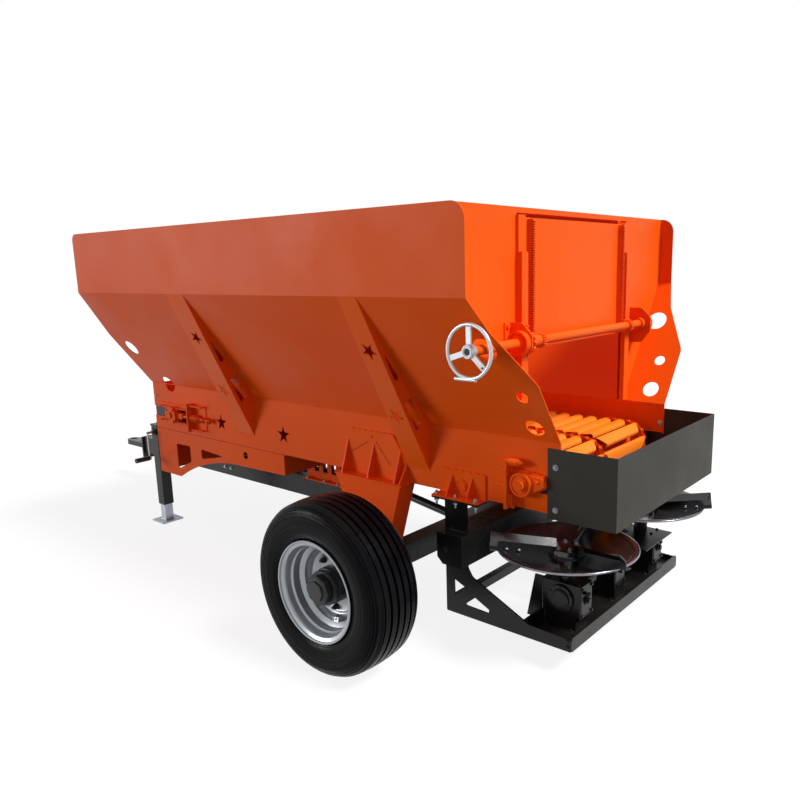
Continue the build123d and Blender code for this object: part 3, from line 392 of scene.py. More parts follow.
def tyre_profile():
    """(radius, distance from the middle plane), from the outer bead over the tread."""
    half = [(0.1966, 0.1055), (0.204, 0.113), (0.215, 0.1155), (0.221, 0.1185)]
    # sidewall and shoulder, with raised rings on them
    wall = [(0.226, 0.1225), (0.25, 0.1292), (0.28, 0.1334), (0.308, 0.1336), (0.33, 0.1305),
            (0.348, 0.1225), (0.361, 0.111), (0.3715, 0.0945)]
    # radius, height and half width of each ring
    rings = ((0.232, 0.0011, 0.0012), (0.24, 0.0011, 0.0012), (0.282, 0.0012, 0.0014),
             (0.316, 0.0022, 0.0032), (0.3285, 0.0024, 0.0032), (0.3405, 0.0026, 0.003),
             (0.351, 0.0026, 0.0026), (0.3605, 0.0024, 0.0024))
    bare_after = (0.24, 0.282)
    shoulder = 0.33
    foot = 0.0016
    crown_drop = 0.0052

    def wall_out(r):
        for (r0, out0), (r1, out1) in zip(wall, wall[1:]):
            if r <= r1:
                return out0 + (out1 - out0) * (r - r0) / (r1 - r0)
        return wall[-1][1]

    def crown(out):
        return (tread_radius - crown_drop * (out / tread_half_width) ** 2, out)

    for r, tall, wide in rings:
        lift = tall * 0.6 if r > shoulder else 0
        half += [(r - wide - foot, wall_out(r - wide - foot) - 0.0008),
                 (r - wide + lift, wall_out(r - wide) + tall - 0.001),
                 (r + wide + lift, wall_out(r + wide) + tall - 0.001),
                 (r + wide + foot, wall_out(r + wide + foot) - 0.0008)]
        if r in bare_after:
            half += [(r + step, wall_out(r + step)) for step in (0.01, 0.02)]
    half += [(0.3685, 0.0985), (0.3735, 0.0925), (0.3738, 0.0905), (0.367, 0.089),
             (0.367, 0.0855), (0.3748, 0.084), crown(0.072)]
    for groove, land in ((0.0555, 0.037), (0.0185, 0)):
        half += [crown(groove + 0.0062), (groove_floor, groove + 0.004),
                 (groove_floor, groove - 0.004), crown(groove - 0.0062), crown(land)]
    return half + [(r, -out) for r, out in half[-2::-1]]


rim_flange = [(0.2115, 0.1225), (0.2125, 0.1275), (0.2155, 0.1305), (0.2185, 0.1305),
              (0.2208, 0.1275), (0.2208, 0.1235), (0.2165, 0.1205)]
rim_profile = rim_flange + [
    (0.2085, 0.1175), (0.2, 0.1145), (0.1962, 0.1075), (0.1958, 0.09), (0.1958, 0.084),
    (0.1915, 0.078), (0.1875, 0.074), (0.1862, 0.066), (0.1858, 0.052), (0.1835, 0.046),
    (0.172, 0.039), (0.1655, 0.034), (0.164, 0.026), (0.164, -0.022), (0.1958, -0.04),
    (0.1958, -0.107), (0.2, -0.1145),
] + [(r, -out) for r, out in rim_flange[::-1]] + [
    (0.2085, -0.121), (0.1975, -0.1165), (0.1925, -0.106), (0.1922, -0.042),
    (0.1605, -0.0245), (0.1605, 0.0245), (0.1622, 0.031), (0.1695, 0.0365), (0.1812, 0.0432),
    (0.1822, 0.052), (0.1827, 0.067), (0.1842, 0.0765), (0.189, 0.081), (0.1922, 0.087),
    (0.1923, 0.106), (0.1975, 0.1165), (0.2085, 0.121),
]
wheel_disc_profile = [
    (0.1606, 0.003), (0.152, 0.0045), (0.146, 0.0085), (0.139, 0.0105), (0.132, 0.0085),
    (0.127, 0.003), (0.122, 0), (0.074, 0), (0.074, -0.008), (0.124, -0.008),
    (0.131, -0.004), (0.139, 0.0015), (0.149, -0.003), (0.1606, -0.0055),
]
hub_profile = [
    (0.0302, -0.1), (0.058, -0.1), (0.058, -0.062), (0.094, -0.052), (0.096, -0.049),
    (0.096, -0.0105), (0.0765, -0.008), (0.079, 0.001), (0.0792, 0.044), (0.0765, 0.049),
    (0.0715, 0.0505), (0.0705, 0.058), (0.0745, 0.0605), (0.0755, 0.0635), (0.0755, 0.0725),
    (0.0735, 0.075), (0.0625, 0.076),
]
cap_profile = [(0, 0.0745), (0.0655, 0.0745), (0.0655, 0.104), (0.0585, 0.1105),
               (0.047, 0.112), (0.046, 0.1185), (0.0445, 0.1205), (0, 0.1215)]
nut_profiles = (
    (20, [(0, 0), (0.015, 0), (0.015, 0.0025), (0.0135, 0.004), (0, 0.004)]),
    (6, [(0, 0.0035), (0.0125, 0.0035), (0.0125, 0.0155), (0.0112, 0.0175), (0, 0.0175)]),
    (14, [(0, 0.017), (0.007, 0.017), (0.007, 0.0255), (0.006, 0.0265), (0, 0.0265)]),
)
valve_profile = [(0, 0), (0.0055, 0), (0.005, 0.016), (0.0035, 0.018), (0.0035, 0.026),
                 (0.0045, 0.026), (0.0045, 0.034), (0, 0.035)]
cheek = ((0.132, 0.004), (0.161, 0.004), (0.161, 0.034), (0.142, 0.028))
lid = ((0.142, 0.028), (0.161, 0.034), (0.161, 0.0365), (0.142, 0.0305))
valve_guard = ((-0.012, cheek, 0.002), (0.012, cheek, 0.002), (-0.012, lid, 0.026))
valve_out = Vector((-cos(valve_angle), 0, sin(valve_angle)))
valve_along = Vector((sin(valve_angle), 0, cos(valve_angle)))

for name, side in sides:
    middle = Vector((wheel_x, wheel_y * side, wheel_z))
    body = "wheel_" + name
    axle = Vector((0, side, 0))
    base = facing(middle, axle)

    bm = bmesh.new()
    add_lathe(bm, base, tyre_profile(), tyre_steps, closed=True)
    piece("tyre_dressed_" + name, bm, "tyre", body, 28, ["tyre_" + name])

    # the rim, the disc in it, and a guard round the valve: two cheeks and a lid
    bm = bmesh.new()
    add_lathe(bm, base, rim_profile, tyre_steps, closed=True)
    add_lathe(bm, base, wheel_disc_profile, tyre_steps, closed=True)
    for off, outline, thick in valve_guard:
        start = middle + valve_along * off
        add_plate(bm, [start + valve_out * r + axle * y for r, y in outline],
                  valve_along * thick)
    piece("rim_dressed_" + name, bm, "rim_silver", body, 32, ["rim_" + name])

    bm = bmesh.new()
    add_lathe(bm, base, hub_profile, 56)
    add_lathe(bm, base, cap_profile, 8)
    for i in range(8):
        a = 2 * pi * (i + 0.5) / 8
        spot = base @ Vector((*polar(cap_bolt_circle, a), 0.058))
        add_bolt(bm, spot, axle, 0.0062, a, washer=False)
    piece("hub_dressed_" + name, bm, "hub_black", body, 32, ["hub_" + name])

    bm = bmesh.new()
    for i in range(5):
        a = radians(54 + 72 * i)
        spot = middle + Vector((-cos(a), 0, sin(a))) * nut_circle
        nut = facing(spot, axle, a)
        for steps, profile in nut_profiles:
            add_lathe(bm, nut, profile, steps)
    add_turned(bm, middle + valve_out * valve_circle, axle, valve_profile, 14)
    piece("wheel_nuts_" + name, bm, "hub_black", body, 32)


# ---------- conveyor
link_reach = 0.0105  # link ends about their pins
link_waist = 0.0072
link_thick = 0.0026
link_shifts = (0.0066, 0.0104)  # inner and outer links, from the strand's middle
slat_pitch = 0.08
slat_half = 0.03
slat_mitre = 0.045
slat_gap = 0.0135  # from a strand's middle
strand_y = 0.455
pitch_radius = (chain_high.z - chain_low.z) / 2 - 0.011
chain_span = idler_x - drive_x
loop_length = 2 * (chain_span + pi * pitch_radius)
slat_count = int(loop_length // slat_pitch)


def loop_place(run):
    """Place and turn on the chain's pitch line, a run along it from the drive shaft's top."""
    r = pitch_radius
    if run < chain_span:
        return Vector((drive_x + run, 0, conveyor_z + r)), 0
    run -= chain_span
    if run < pi * r:
        a = run / r
        return Vector((idler_x + r * sin(a), 0, conveyor_z + r * cos(a))), a
    run -= pi * r
    if run < chain_span:
        return Vector((idler_x - run, 0, conveyor_z - r)), pi
    a = (run - chain_span) / r
    return Vector((drive_x - r * sin(a), 0, conveyor_z - r * cos(a))), pi + a


def link_outline(near, far):
    """A waisted link plate round two pins, in X and Z."""
    ahead = (far - near).normalized()
    up = Vector((-ahead.z, 0, ahead.x))
    length = (far - near).length
    points = []
    for centre, start, waist in ((near, 90, -link_waist), (far, -90, link_waist)):
        for i in range(6):
            a = radians(start + 36 * i)
            points.append(centre + ahead * (link_reach * cos(a)) + up * (link_reach * sin(a)))
        points.append(near + ahead * (length / 2) + up * waist)
    return points


def build_chain():
    """Three strands of link chain, and slats with turned-down edges between them."""
    bm = bmesh.new()
    links = slat_count * 2
    step = loop_length / links
    pins = [loop_place(i * step)[0] for i in range(links)]
    across = Vector((0, 1, 0))
    for strand in (-strand_y, 0, strand_y):
        for i, near in enumerate(pins):
            outline = link_outline(near, pins[(i + 1) % links])
            for side in (-1, 1):
                inner = strand + side * link_shifts[i % 2] - (link_thick if side < 0 else 0)
                add_plate(bm, [p + across * inner for p in outline], across * link_thick)
            for radius, half_length, steps in ((0.0082, 0.0065, 12), (0.0038, 0.013, 8)):
                add_turned(bm, near + across * (strand - half_length), across, [
                    (0, 0), (radius, 0), (radius, half_length * 2), (0, half_length * 2)], steps)
    piece("conveyor_links", bm, "orange_paint", hard=25)

    bm = bmesh.new()
    upper = [(-0.03, -0.005), (-0.0295, 0.006), (-0.0255, 0.0135), (-0.018, 0.0162)]
    lower = [(0.027, -0.005), (0.0265, 0.005), (0.0235, 0.0108), (0.017, 0.0132)]
    section = [point for skin in (upper, lower)
               for point in skin + [(-along, height) for along, height in skin[::-1]]]
    for i in range(slat_count):
        centre, turn = loop_place(i * 2 * step + step / 2)
        ahead = Vector((cos(turn), 0, -sin(turn)))
        out = Vector((sin(turn), 0, cos(turn)))
        for side in (-1, 1):
            rings = []
            for near_end in (True, False):
                ring = []
                for along, height in section:
                    mitre = slat_mitre * (slat_half - along) / (slat_half * 2)
                    y = slat_gap + mitre if near_end else strand_y - slat_gap - mitre
                    ring.append(bm.verts.new(centre + ahead * along + out * height
                                             + across * (y * side)))
                rings.append(ring)
            bridge(bm, *rings)
            count = len(section)
            half = count // 2
            for ring in rings:
                for k in range(half - 1):
                    bm.faces.new((ring[k], ring[k + 1], ring[count - 2 - k],
                                  ring[count - 1 - k]))
    piece("conveyor_dressed", bm, "chain_orange", hard=25, replaces=["conveyor_chain"])


build_chain()


# ---------- spinners
flat_radius = 0.09  # the disc's flat centre, inside its cone
slope = atan2(disc_rise, 0.215)
blade_bolts = (0.215, 0.268)  # distances from the axis
blade_bolt_aside = 0.0165
boss_bolt_circle = 0.051
disc_steps = 120
top = disc_centre_z
boss_profile = [(radius, top + up) for radius, up in (
    (0, -0.001), (0.084, -0.001), (0.084, 0.005), (0.08, 0.0075), (0.072, 0.0225),
    (0.066, 0.0275), (0.03, 0.03), (0, 0.03))]
r, z = disc_radius, disc_high.z
# the disc's edge, rolled over outwards, and its worn outer face
lip_profile = [(r + out, z + up) for out, up in (
    (-0.034, -0.0046), (-0.03, -0.003), (-0.02, -0.0004), (-0.01, 0.0011), (-0.003, 0.0007),
    (0, -0.0006), (-0.002, -0.0045), (-0.034, -0.0075))]
edge_profile = [(r + out, z + up) for out, up in (
    (-0.003, 0.0006), (-0.0004, 0.0001), (0.0012, -0.002), (0.0016, -0.0045),
    (0.0012, -0.0078), (-0.0004, -0.0078), (0.0002, -0.0045), (-0.001, -0.003),
    (-0.003, -0.0034))]

for name, side in sides:
    middle = Vector((spin_x, spin_y * side, 0))
    body = "spinner_" + name
    base = facing(middle, (0, 0, 1))

    bm = bmesh.new()
    add_lathe(bm, base, boss_profile, 48)
    piece("spinner_boss_" + name, bm, "disc_gloss", body, 30)

    bm = bmesh.new()
    for i in range(6):
        a = radians(12 + 60 * i) * side
        spot = middle + Vector((*polar(boss_bolt_circle, a), top + 0.0278))
        add_bolt(bm, spot, (0, 0, 1), 0.009, a, stud=True)
    for i in range(3):
        a = radians(42 + 120 * i) * side
        ahead = Vector((cos(a), sin(a), 0))
        across = Vector((-sin(a), cos(a), 0)) * side
        for reach in blade_bolts:
            lift = top + (reach - flat_radius) * sin(slope) / cos(slope) + 0.0055
            spot = middle + ahead * reach + across * blade_bolt_aside + Vector((0, 0, lift))
            add_bolt(bm, spot, (-sin(slope) * cos(a), -sin(slope) * sin(a), cos(slope)),
                     0.0072, a)
    piece("spinner_bolts_" + name, bm, "zinc", body, 30)

    bm = bmesh.new()
    add_lathe(bm, base, lip_profile, disc_steps, closed=True)
    piece("spinner_lip_" + name, bm, "disc_gloss", body, 50)
    bm = bmesh.new()
    add_lathe(bm, base, edge_profile, disc_steps, closed=True)
    piece("spinner_edge_" + name, bm, "bright_steel", body, 50, look="worn_edge")


# ---------- gearboxes
box_low, box_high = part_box("gearboxes")
case_half = 0.0725
gear_z = box_low.z + 0.06 + case_half  # on feet 60 mm high
case_top = gear_z + case_half
breather_profile = [(0, 0), (0.009, 0), (0.009, 0.008), (0.006, 0.01), (0.006, 0.016),
                    (0.0095, 0.018), (0.0095, 0.026), (0.006, 0.029), (0, 0.029)]
cover_profile = [(0, 0), (0.041, 0), (0.0395, 0.0025), (0.036, 0.0025),
                 (0.0345, 0.0005), (0, 0.0005)]
collar_profile = [(0.0318, 0), (0.0345, 0.001), (0.0345, 0.005), (0.0318, 0.006)]

# y, rear face behind the axis, ends' reach and bolt circle; the middle one is driven
gearboxes = ((spin_y, 0.098, 0.062, 0.056), (0, 0.074, 0.064, 0.049),
             (-spin_y, 0.098, 0.062, 0.056))
rings = bmesh.new()
bolts = bmesh.new()
for y, rear, reach, circle in gearboxes:
    x = spin_x - rear
    for dy in (-0.04, 0.04):
        for dz in (-0.06, 0.06):
            add_bolt(bolts, (x, y + dy, gear_z + dz), (-1, 0, 0), 0.0072, dy + dz)
    add_bolt(bolts, (x - (0.005 if y else 0), y, gear_z), (-1, 0, 0), 0.013, 0.2)
    add_turned(bolts, (x, y + 0.018, gear_z + 0.038), (-1, 0, 0), breather_profile, 20)
    for side in (-1, 1):
        if y * side > 0:  # a cover on an outer box's outer end
            add_turned(rings, (spin_x, y + side * 0.068, gear_z), (0, side, 0), cover_profile, 48)
        add_bolt_ring(bolts, (spin_x, y + side * reach, gear_z), (0, side, 0), circle, 6, 0.0058)
    for dx in (-0.074, 0.074):
        for dy in (-0.036, 0.036):
            pad = 0.005 if y < 0 and dx < 0 else 0
            add_bolt(bolts, (spin_x + dx, y + dy, case_top + pad), (0, 0, 1), 0.0065, 0.4)
    if y:
        add_bolt_ring(bolts, (spin_x, y, box_high.z - 0.012), (0, 0, -1), 0.0375, 8, 0.004)
        for lift in (0.004, 0.018, 0.032):
            add_turned(rings, (spin_x, y, case_top + lift), (0, 0, 1), collar_profile, 40, True)
    for end in (-1, 1):
        for side in (-1, 1):
            add_bolt(bolts, (spin_x + end * 0.05775, y + side * 0.062, box_low.z), (0, 0, 1),
                     0.008, end * 0.495)
piece("gearbox_rings", rings, "black_paint")
piece("gearbox_bolts", bolts, "black_paint")


# ---------- brackets on the sills
leg_front, leg_rear, leg_top = -0.82, -1.275, 0.895
frame_front = -1.513
bracket_front = frame_front + 0.048
bracket_rear = frame_front - 0.209
bracket_top = low + 0.111
bracket_face = face + 0.008  # the brackets' plates are 8 mm thick
plate_edge = face + 0.0045
boss_x = (bracket_front + bracket_rear) / 2 + 0.003
boss_rise = 0.046
flange_z = low - 0.0088
hopper_front = 0.99
panel_rear = -0.322  # front panels' rear ends
knee = (leg_rear + 0.02, leg_top - 0.125)
plate_edges = (
    ((leg_front - 0.01, low), (leg_front - 0.054, leg_top)), (knee, (leg_rear + 0.1, leg_top)),
    ((leg_rear + 0.012, low), knee),
    ((bracket_front - 0.004, low), (bracket_front - 0.013, bracket_top)),
    ((bracket_rear + 0.001, low), (bracket_rear + 0.001, bracket_top)))
# gussets: place, half thickness, height and reach of the beads
leg_gussets = ((0.042, 0.078), (0.119, 0.146), (0.508, 0.156), (0.903, 0.163))
gussets = [(leg_rear + (leg_front - leg_rear) * share, 0.0045, tall, 0.062)
           for share, tall in leg_gussets]
gussets += [(bracket_rear + (bracket_front - bracket_rear) * share, 0.0035, 0.086, 0.054)
            for share in (0.28, 0.72)]
# struts: middle and width at the bend, then at the foot
struts = ((-0.04, 0.157, 0.002, 0.142), (-1.322, 0.106, -1.33, 0.135))
weld_proud = 0.0012
axle_weld_x = (-1.331, -1.142)
axle_weld_z = 0.4275
bracket_bolts = (-1.476, -1.585, -1.697)
shank_profile = [(0, 0), (0.0055, 0), (0.0055, 0.036), (0.0046, 0.0375), (0, 0.0375)]
deflector_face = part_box("deflector")[1].y
deflector_bolts = ((-2.073, 0.874), (-2.073, 0.693))
deflector_holes = ((-2.254, 0.878), (-2.076, 0.764), (-2.254, 0.762))
# take-up windows: rear and front end, top, height
take_up_windows = ((0.624, 0.682, 0.83, 0.038), (0.628, 0.686, 0.77, 0.032))
slots = ((-2.09, -1.885), (0.684, 0.988))
slot_low, slot_high = 0.742, 0.826
mark_thick = 0.0006
leg_seams = (((-1.006, 0.841), (-0.888, 0.775)), ((-1.061, 0.847), (-1.157, 0.738)))
seam_half = 0.0014
dashed = (0.0046, 0.026, 0.016)  # radius, dash, gap


def strut_edge(top_x, top_wide, foot_x, foot_wide, hand, z):
    """How far forward a strut's edge is at a height."""
    share = (strut_bend - z) / (strut_bend - strut_foot)
    near = top_x + hand * top_wide / 2
    far = foot_x + hand * foot_wide / 2
    return near + (far - near) * share + hand * weld_proud


def wall_out(z):
    """How far out the hopper's slope is at a height; the sill's face below it."""
    return face + max(0, z - sill_high.z) * (band_y - face) / (
        strut_bend - sill_high.z) + weld_proud


for name, side in sides:
    bm = bmesh.new()

    def bead(start, end, radius=0.0028, dash=0, gap=0):
        add_weld(bm, mirrored(*start, side), mirrored(*end, side), radius, dash, gap)

    def level_bead(rear, front, y, z, *weld):
        bead((rear, y, z), (front, y, z), *weld)

    # round the edges of the wheel bracket and of the rear bracket
    level_bead(leg_front - 0.058, leg_rear + 0.104, plate_edge, leg_top, *dashed)
    level_bead(bracket_front - 0.02, bracket_rear + 0.008, plate_edge, bracket_top, *dashed)
    for (x0, z0), (x1, z1) in plate_edges:
        bead((x0, plate_edge, z0), (x1, plate_edge, z1), 0.0032)
    for x, half, tall, reach in gussets:
        for off in (-half, half):
            bead((x + off, bracket_face + 0.001, low), (x + off, bracket_face + 0.001, low + tall))
            bead((x + off, bracket_face, low + 0.001), (x + off, face + reach, low + 0.001))
    for rear, front in ((leg_rear, leg_front), (bracket_rear, bracket_front)):
        level_bead(rear, front, bracket_face, low + 0.0005, 0.003)
    flange_out = face + 0.066
    for x in (leg_front - 0.012, leg_rear + 0.012):
        bead((x, face - 0.036, flange_z), (x, flange_out, flange_z), 0.003)
    level_bead(leg_rear + 0.012, leg_front - 0.012, flange_out, flange_z, 0.003)
    for y in (face + 0.145, face + 0.244):
        level_bead(*axle_weld_x, y, axle_weld_z, 0.0035)
    # seams of slope, sill and front panel
    level_bead(sill_low.x + 0.01, hopper_front, face + 0.0008, sill_high.z, 0.0024)
    level_bead(panel_rear, hopper_front, face + 0.0002, low, 0.0022)
    for strut in struts:
        for hand in (-1, 1):
            top, knee, foot = ((strut_edge(*strut, hand, z), wall_out(z), z)
                               for z in (strut_bend - 0.07, sill_high.z, strut_foot))
            bead(top, knee, 0.0034, 0.032, 0.045)
            bead(knee, foot, 0.0032)
        foot_x, foot_wide = strut[2:]
        level_bead(foot_x - foot_wide / 2, foot_x + foot_wide / 2, face + 0.001,
                   strut_foot - 0.001, 0.003)
    # the boss on the rear bracket
    for radius in (0.0275, 0.019):
        ring = [polar(radius, radians(15 * i)) for i in range(25)]
        add_tube(bm, [mirrored(boss_x + x, face + 0.0112, low + boss_rise + z, side)
                      for x, z in ring], 0.0021)
    piece("sill_welds_" + name, bm, "orange_paint")

    # rear bracket's bolts, and those of the deflector
    bm = bmesh.new()
    for i, x in enumerate(bracket_bolts):
        y = (face + 0.048) * side
        add_bolt(bm, (x, y, low), (0, 0, 1), 0.0098, 0.5 * i, stud=True)
        add_turned(bm, (x, y, low - 0.014), (0, 0, -1), shank_profile, 16)
        add_bolt(bm, (x, y, low - 0.027), (0, 0, -1), 0.0098, 0.2 + i)
    for x, z in deflector_bolts:
        add_bolt(bm, (x, deflector_face * side, z), (0, side, 0), 0.0102, z, stud=True)
        add_bolt(bm, (x, inner_face * side, z), (0, -side, 0), 0.0105, z, stud=True)
    piece("zinc_bolts_" + name, bm, "zinc")

    bm = bmesh.new()
    # black discs in the deflector's holes and black patches on the take-up windows: painted shade
    # for their dark insides
    for x, z in deflector_holes:
        spot = facing((x, (deflector_face - 0.0002) * side, z), (0, side, 0))
        add_disc(bm, spot, 0.0042, 0.0007, 16)
    near, far = beside(face, mark_thick, side)
    for rear, front, top, tall in take_up_windows:
        add_box(bm, (rear, near, top - tall), (front, far, top))
    # dark sheets behind the shafts' slots: painted shade, so that the slots look dark through
    near, far = beside(inner_face - 0.004, 0.004, side)
    for rear, front in slots:
        add_box(bm, (rear, near, slot_low), (front, far, slot_high))
    piece("painted_shade_marks_" + name, bm, "black_paint")

    # painted shade: dark strips along seams on the wheel bracket, and a painted shadow under the
    # sill over the front panel
    bm = bmesh.new()
    for start, end in leg_seams:
        ahead = Vector((end[0] - start[0], 0, end[1] - start[1])).normalized()
        up = Vector((-ahead.z, 0, ahead.x)) * seam_half
        near, far = (Vector((x, bracket_face * side, z)) for x, z in (start, end))
        add_plate(bm, [near - up, far - up, far + up, near + up], (0, 0.0005 * side, 0))
    near, far = beside(face, mark_thick, side)
    add_box(bm, (panel_rear, near, low - 0.0042), (hopper_front, far, low - 0.0012))
    piece("seam_marks_" + name, bm, "orange_paint", look="seam_painted_shade")


# ---------- bearings and take-ups
bearing_cap_profile = [
    (0, -0.008), (0.009, -0.007), (0.0145, -0.002), (0.0165, 0.006), (0.0165, 0.048), (0, 0.048)]
nipple_profile = [(0, 0), (0.0045, 0), (0.0045, 0.006), (0.0028, 0.007), (0.0028, 0.011),
                  (0.0036, 0.012), (0.0022, 0.0145), (0, 0.0145)]
screw_out = 0.021
end_plate_x = 0.541
lock_nuts = (0.4525, 0.3995, 0.3435)
spring_front, spring_length, spring_radius = 0.528, 0.072, 0.0215
spring_turns = 8
steps_per_turn = 16

for name, side in sides:
    bm = bmesh.new()

    def put(along, out, up):
        """A place from the drive shaft's axis and the sill's face."""
        return mirrored(drive_x + along, face + out, conveyor_z + up, side)

    # drive bearing: nuts on its pins and stubs, a cap, a grease nipple
    for up in (-0.017, 0.054):
        add_bolt(bm, put(0.076, 0.034, up), (1, 0, 0), 0.0125, up * 9)
    add_bolt(bm, put(0.052, 0.02, -0.104), (0, 0, -1), 0.01, 0.3, stud=True)
    add_bolt(bm, put(-0.075, 0.034, 0.022), (0, side, 0), 0.0085)
    add_turned(bm, put(0.012, 0.036, 0.092), (1, 0, 0), bearing_cap_profile, 28)
    add_turned(bm, put(-0.014, 0.03, 0.0505), (-0.2, 0, 1), nipple_profile, 12)
    # take-up: bearing flange's bolts, lock nuts, end plate's bolts, spring, rails' bolts
    add_bolt_ring(bm, put(chain_span, 0.05, 0), (0, side, 0), 0.046, 4, 0.0068)
    for x in lock_nuts:
        add_bolt(bm, put(x - drive_x, screw_out, 0), (-1, 0, 0), 0.0145, x * 9)
    for up in (-0.068, 0.074):
        add_bolt(bm, put(end_plate_x - drive_x, 0.036, up), (1, 0, 0), 0.0085, up)
    coil = []
    count = spring_turns * steps_per_turn
    for i in range(count + 1):
        a = 2 * pi * i / steps_per_turn
        coil.append(put(spring_front - drive_x - spring_length * i / count,
                        screw_out + spring_radius * cos(a), spring_radius * sin(a)))
    add_tube(bm, coil, 0.0032)
    for up in (-0.045475, 0.045475):
        for x in (0.86, 0.71, 0.58):
            add_bolt(bm, put(x - drive_x, 0.034, up), (0, side, 0), 0.006, x, washer=False)
    piece("bearing_bolts_" + name, bm, "orange_paint")


# ---------- gate and its drive
wall_weld_feet = (1, 1.1, 1.25, 1.4, 1.55, 1.7)
corner_low, corner_high = 1.84, 1.905
corner_thick = 0.004
rack_y = 0.412
rack_half_wide = 0.011


def gate_place(y, radius=0, angle=0):
    """A place round the gate's shaft."""
    return (gate_shaft_x + radius * cos(angle), y, gate_shaft_z + radius * sin(angle))


bm = bmesh.new()
for y, heights in ((0.572, (0.066, -0.031)), (-0.594, (0.064, -0.082))):
    for height in heights:
        add_bolt(bm, (rear_face - 0.008, y, gate_shaft_z + height), (-1, 0, 0), 0.0095,
                 height * 5)
for y, side in ((0.584, 1), (-0.606, -1)):
    add_bolt_ring(bm, gate_place(y), (0, side, 0), 0.0455, 4, 0.0038)
for side in (-1, 1):
    for foot in wall_weld_feet:
        start = Vector((rear_face - 0.001, side * 0.501, foot))
        add_weld(bm, start, start + Vector((0, 0, 0.045)), 0.003)
for side in (-1, 1):
    # angles on the wall's front face that close the opening's upper corners
    front = rear_face + 0.035
    add_box(bm, (rear_face + 0.003, 0.505 * side - 0.0025, corner_low),
            (front, 0.505 * side + 0.0025, corner_high), 0.0006)
    near, far = beside(0.395, 0.112, side)
    add_box(bm, (front - corner_thick, near, corner_low), (front, far, corner_high), 0.0006)
piece("gate_bolts", bm, "orange_paint")

bm = bmesh.new()
for side in (-1, 1):
    for off in (-0.0115, 0.0115):
        x, y = gate_low.x - 0.0006, side * rack_y + off
        add_weld(bm, (x, y, gate_low.z + 0.02), (x, y, gate_high.z - 0.02), 0.0024, 0.03, 0.055)
piece("rack_welds", bm, "orange_paint", "gate")


def build_rack_shades():
    """Painted shade in the gaps between the racks' teeth: a thin dark liner on each gap's floor
    and flanks.
    """
    racks_low, racks_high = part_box("gate_racks")
    module = 0.003
    lean_per_depth = 0.364  # 20 degree flanks
    tooth_pitch = pi * module
    tip_x = racks_low.x
    root_x = tip_x + 2.25 * module
    lean = lean_per_depth * (root_x - tip_x)
    root_half = tooth_pitch / 4 - lean_per_depth * 1.25 * module
    liner = 0.0001
    top_x = tip_x + 0.0004
    flank_liner = ((top_x, root_half + lean), (root_x, root_half), (root_x, root_half - liner),
                   (top_x, root_half + lean - liner))
    end_margin = 0.006
    middle_z = (racks_low.z + racks_high.z) / 2
    count = int((racks_high.z - racks_low.z) / tooth_pitch)
    offset = round((middle_z - gate_shaft_z) / tooth_pitch)
    bm = bmesh.new()
    for side in (-1, 1):
        y = rack_y * side - rack_half_wide
        for i in range(offset - count, offset + count):
            z = gate_shaft_z + (i + 0.5) * tooth_pitch
            if not racks_low.z + end_margin < z < racks_high.z - end_margin:
                continue
            for flank in (-1, 1):
                outline = [Vector((x, y, z + flank * off)) for x, off in flank_liner]
                add_plate(bm, outline, (0, rack_half_wide * 2, 0))
            add_box(bm, (root_x - liner, y, z - root_half),
                    (root_x, y + rack_half_wide * 2, z + root_half))
    piece("rack_shades", bm, "orange_paint", "gate", look="painted_shade_red")


build_rack_shades()

# the gate's folded top edge, just inside the rear wall: a shelf and a lip, coloured in the darker
# red of painted shade for the shadow under the wall's top edge
fold_half = 0.444
fold_low = gate_high.z - 0.005
fold_front = gate_high.x + 0.024
bm = bmesh.new()
for rear, top in ((gate_high.x - 0.001, gate_high.z - 0.001),
                  (gate_high.x + 0.02, gate_high.z + 0.034)):
    add_box(bm, (rear, -fold_half, fold_low), (fold_front, fold_half, top), 0.0008)
piece("gate_top_fold", bm, "orange_paint", "gate", look="painted_shade_red")

bm = bmesh.new()
for y in (-0.588, 0.452):
    add_bolt(bm, gate_place(y, -0.0185), (-1, 0, 0), 0.0055, 0.2, washer=False)
add_disc(bm, facing(gate_place(gate_shaft_end), (0, -1, 0)), 0.0185, 0.0006, 32, 0.0004)
x, z = gate_shaft_x + 0.001, gate_shaft_z + 0.0258
add_weld(bm, (x, 0.43, z), (x, 0.5, z), 0.0016)
piece("gate_shaft_screws", bm, "orange_paint", "gate_drive")

hub_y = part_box("handwheel")[1].y
hand_y = hub_y - 0.012  # the wheel's middle plane
grip_angle = 222  # the spoke with the grip's hole
bm = bmesh.new()
add_disc(bm, facing(gate_place(hub_y), (0, 1, 0)), 0.0135, 0.0008, 32, 0.0004)
# black discs on both faces of that spoke stand in for the grip's hole: painted shade
for hand in (1, -1):
    spot = gate_place(hand_y + hand * 0.0034, 0.084, radians(grip_angle))
    add_disc(bm, facing(spot, (0, hand, 0)), 0.0048, 0.0006, 16)
piece("handwheel_marks", bm, "black_paint", "gate_drive")

bm = bmesh.new()
for turn in (90, grip_angle, 342):
    a = radians(turn)
    across = Vector((-sin(a), 0, cos(a))) * 0.0105
    for radius in (0.0265, 0.0925):
        for hand in (-1, 1):
            spot = Vector(gate_place(hand_y + hand * 0.0036, radius, a))
            add_weld(bm, spot - across, spot + across, 0.0022)
add_turned(bm, gate_place(hand_y + 0.0115), (0, 1, 0), [
    (0.0165, 0), (0.0225, 0), (0.0225, 0.002), (0.0205, 0.0035), (0.0175, 0.0035),
    (0.0165, 0.002)], 40, closed=True)
piece("handwheel_welds", bm, "bright_steel", "gate_drive")


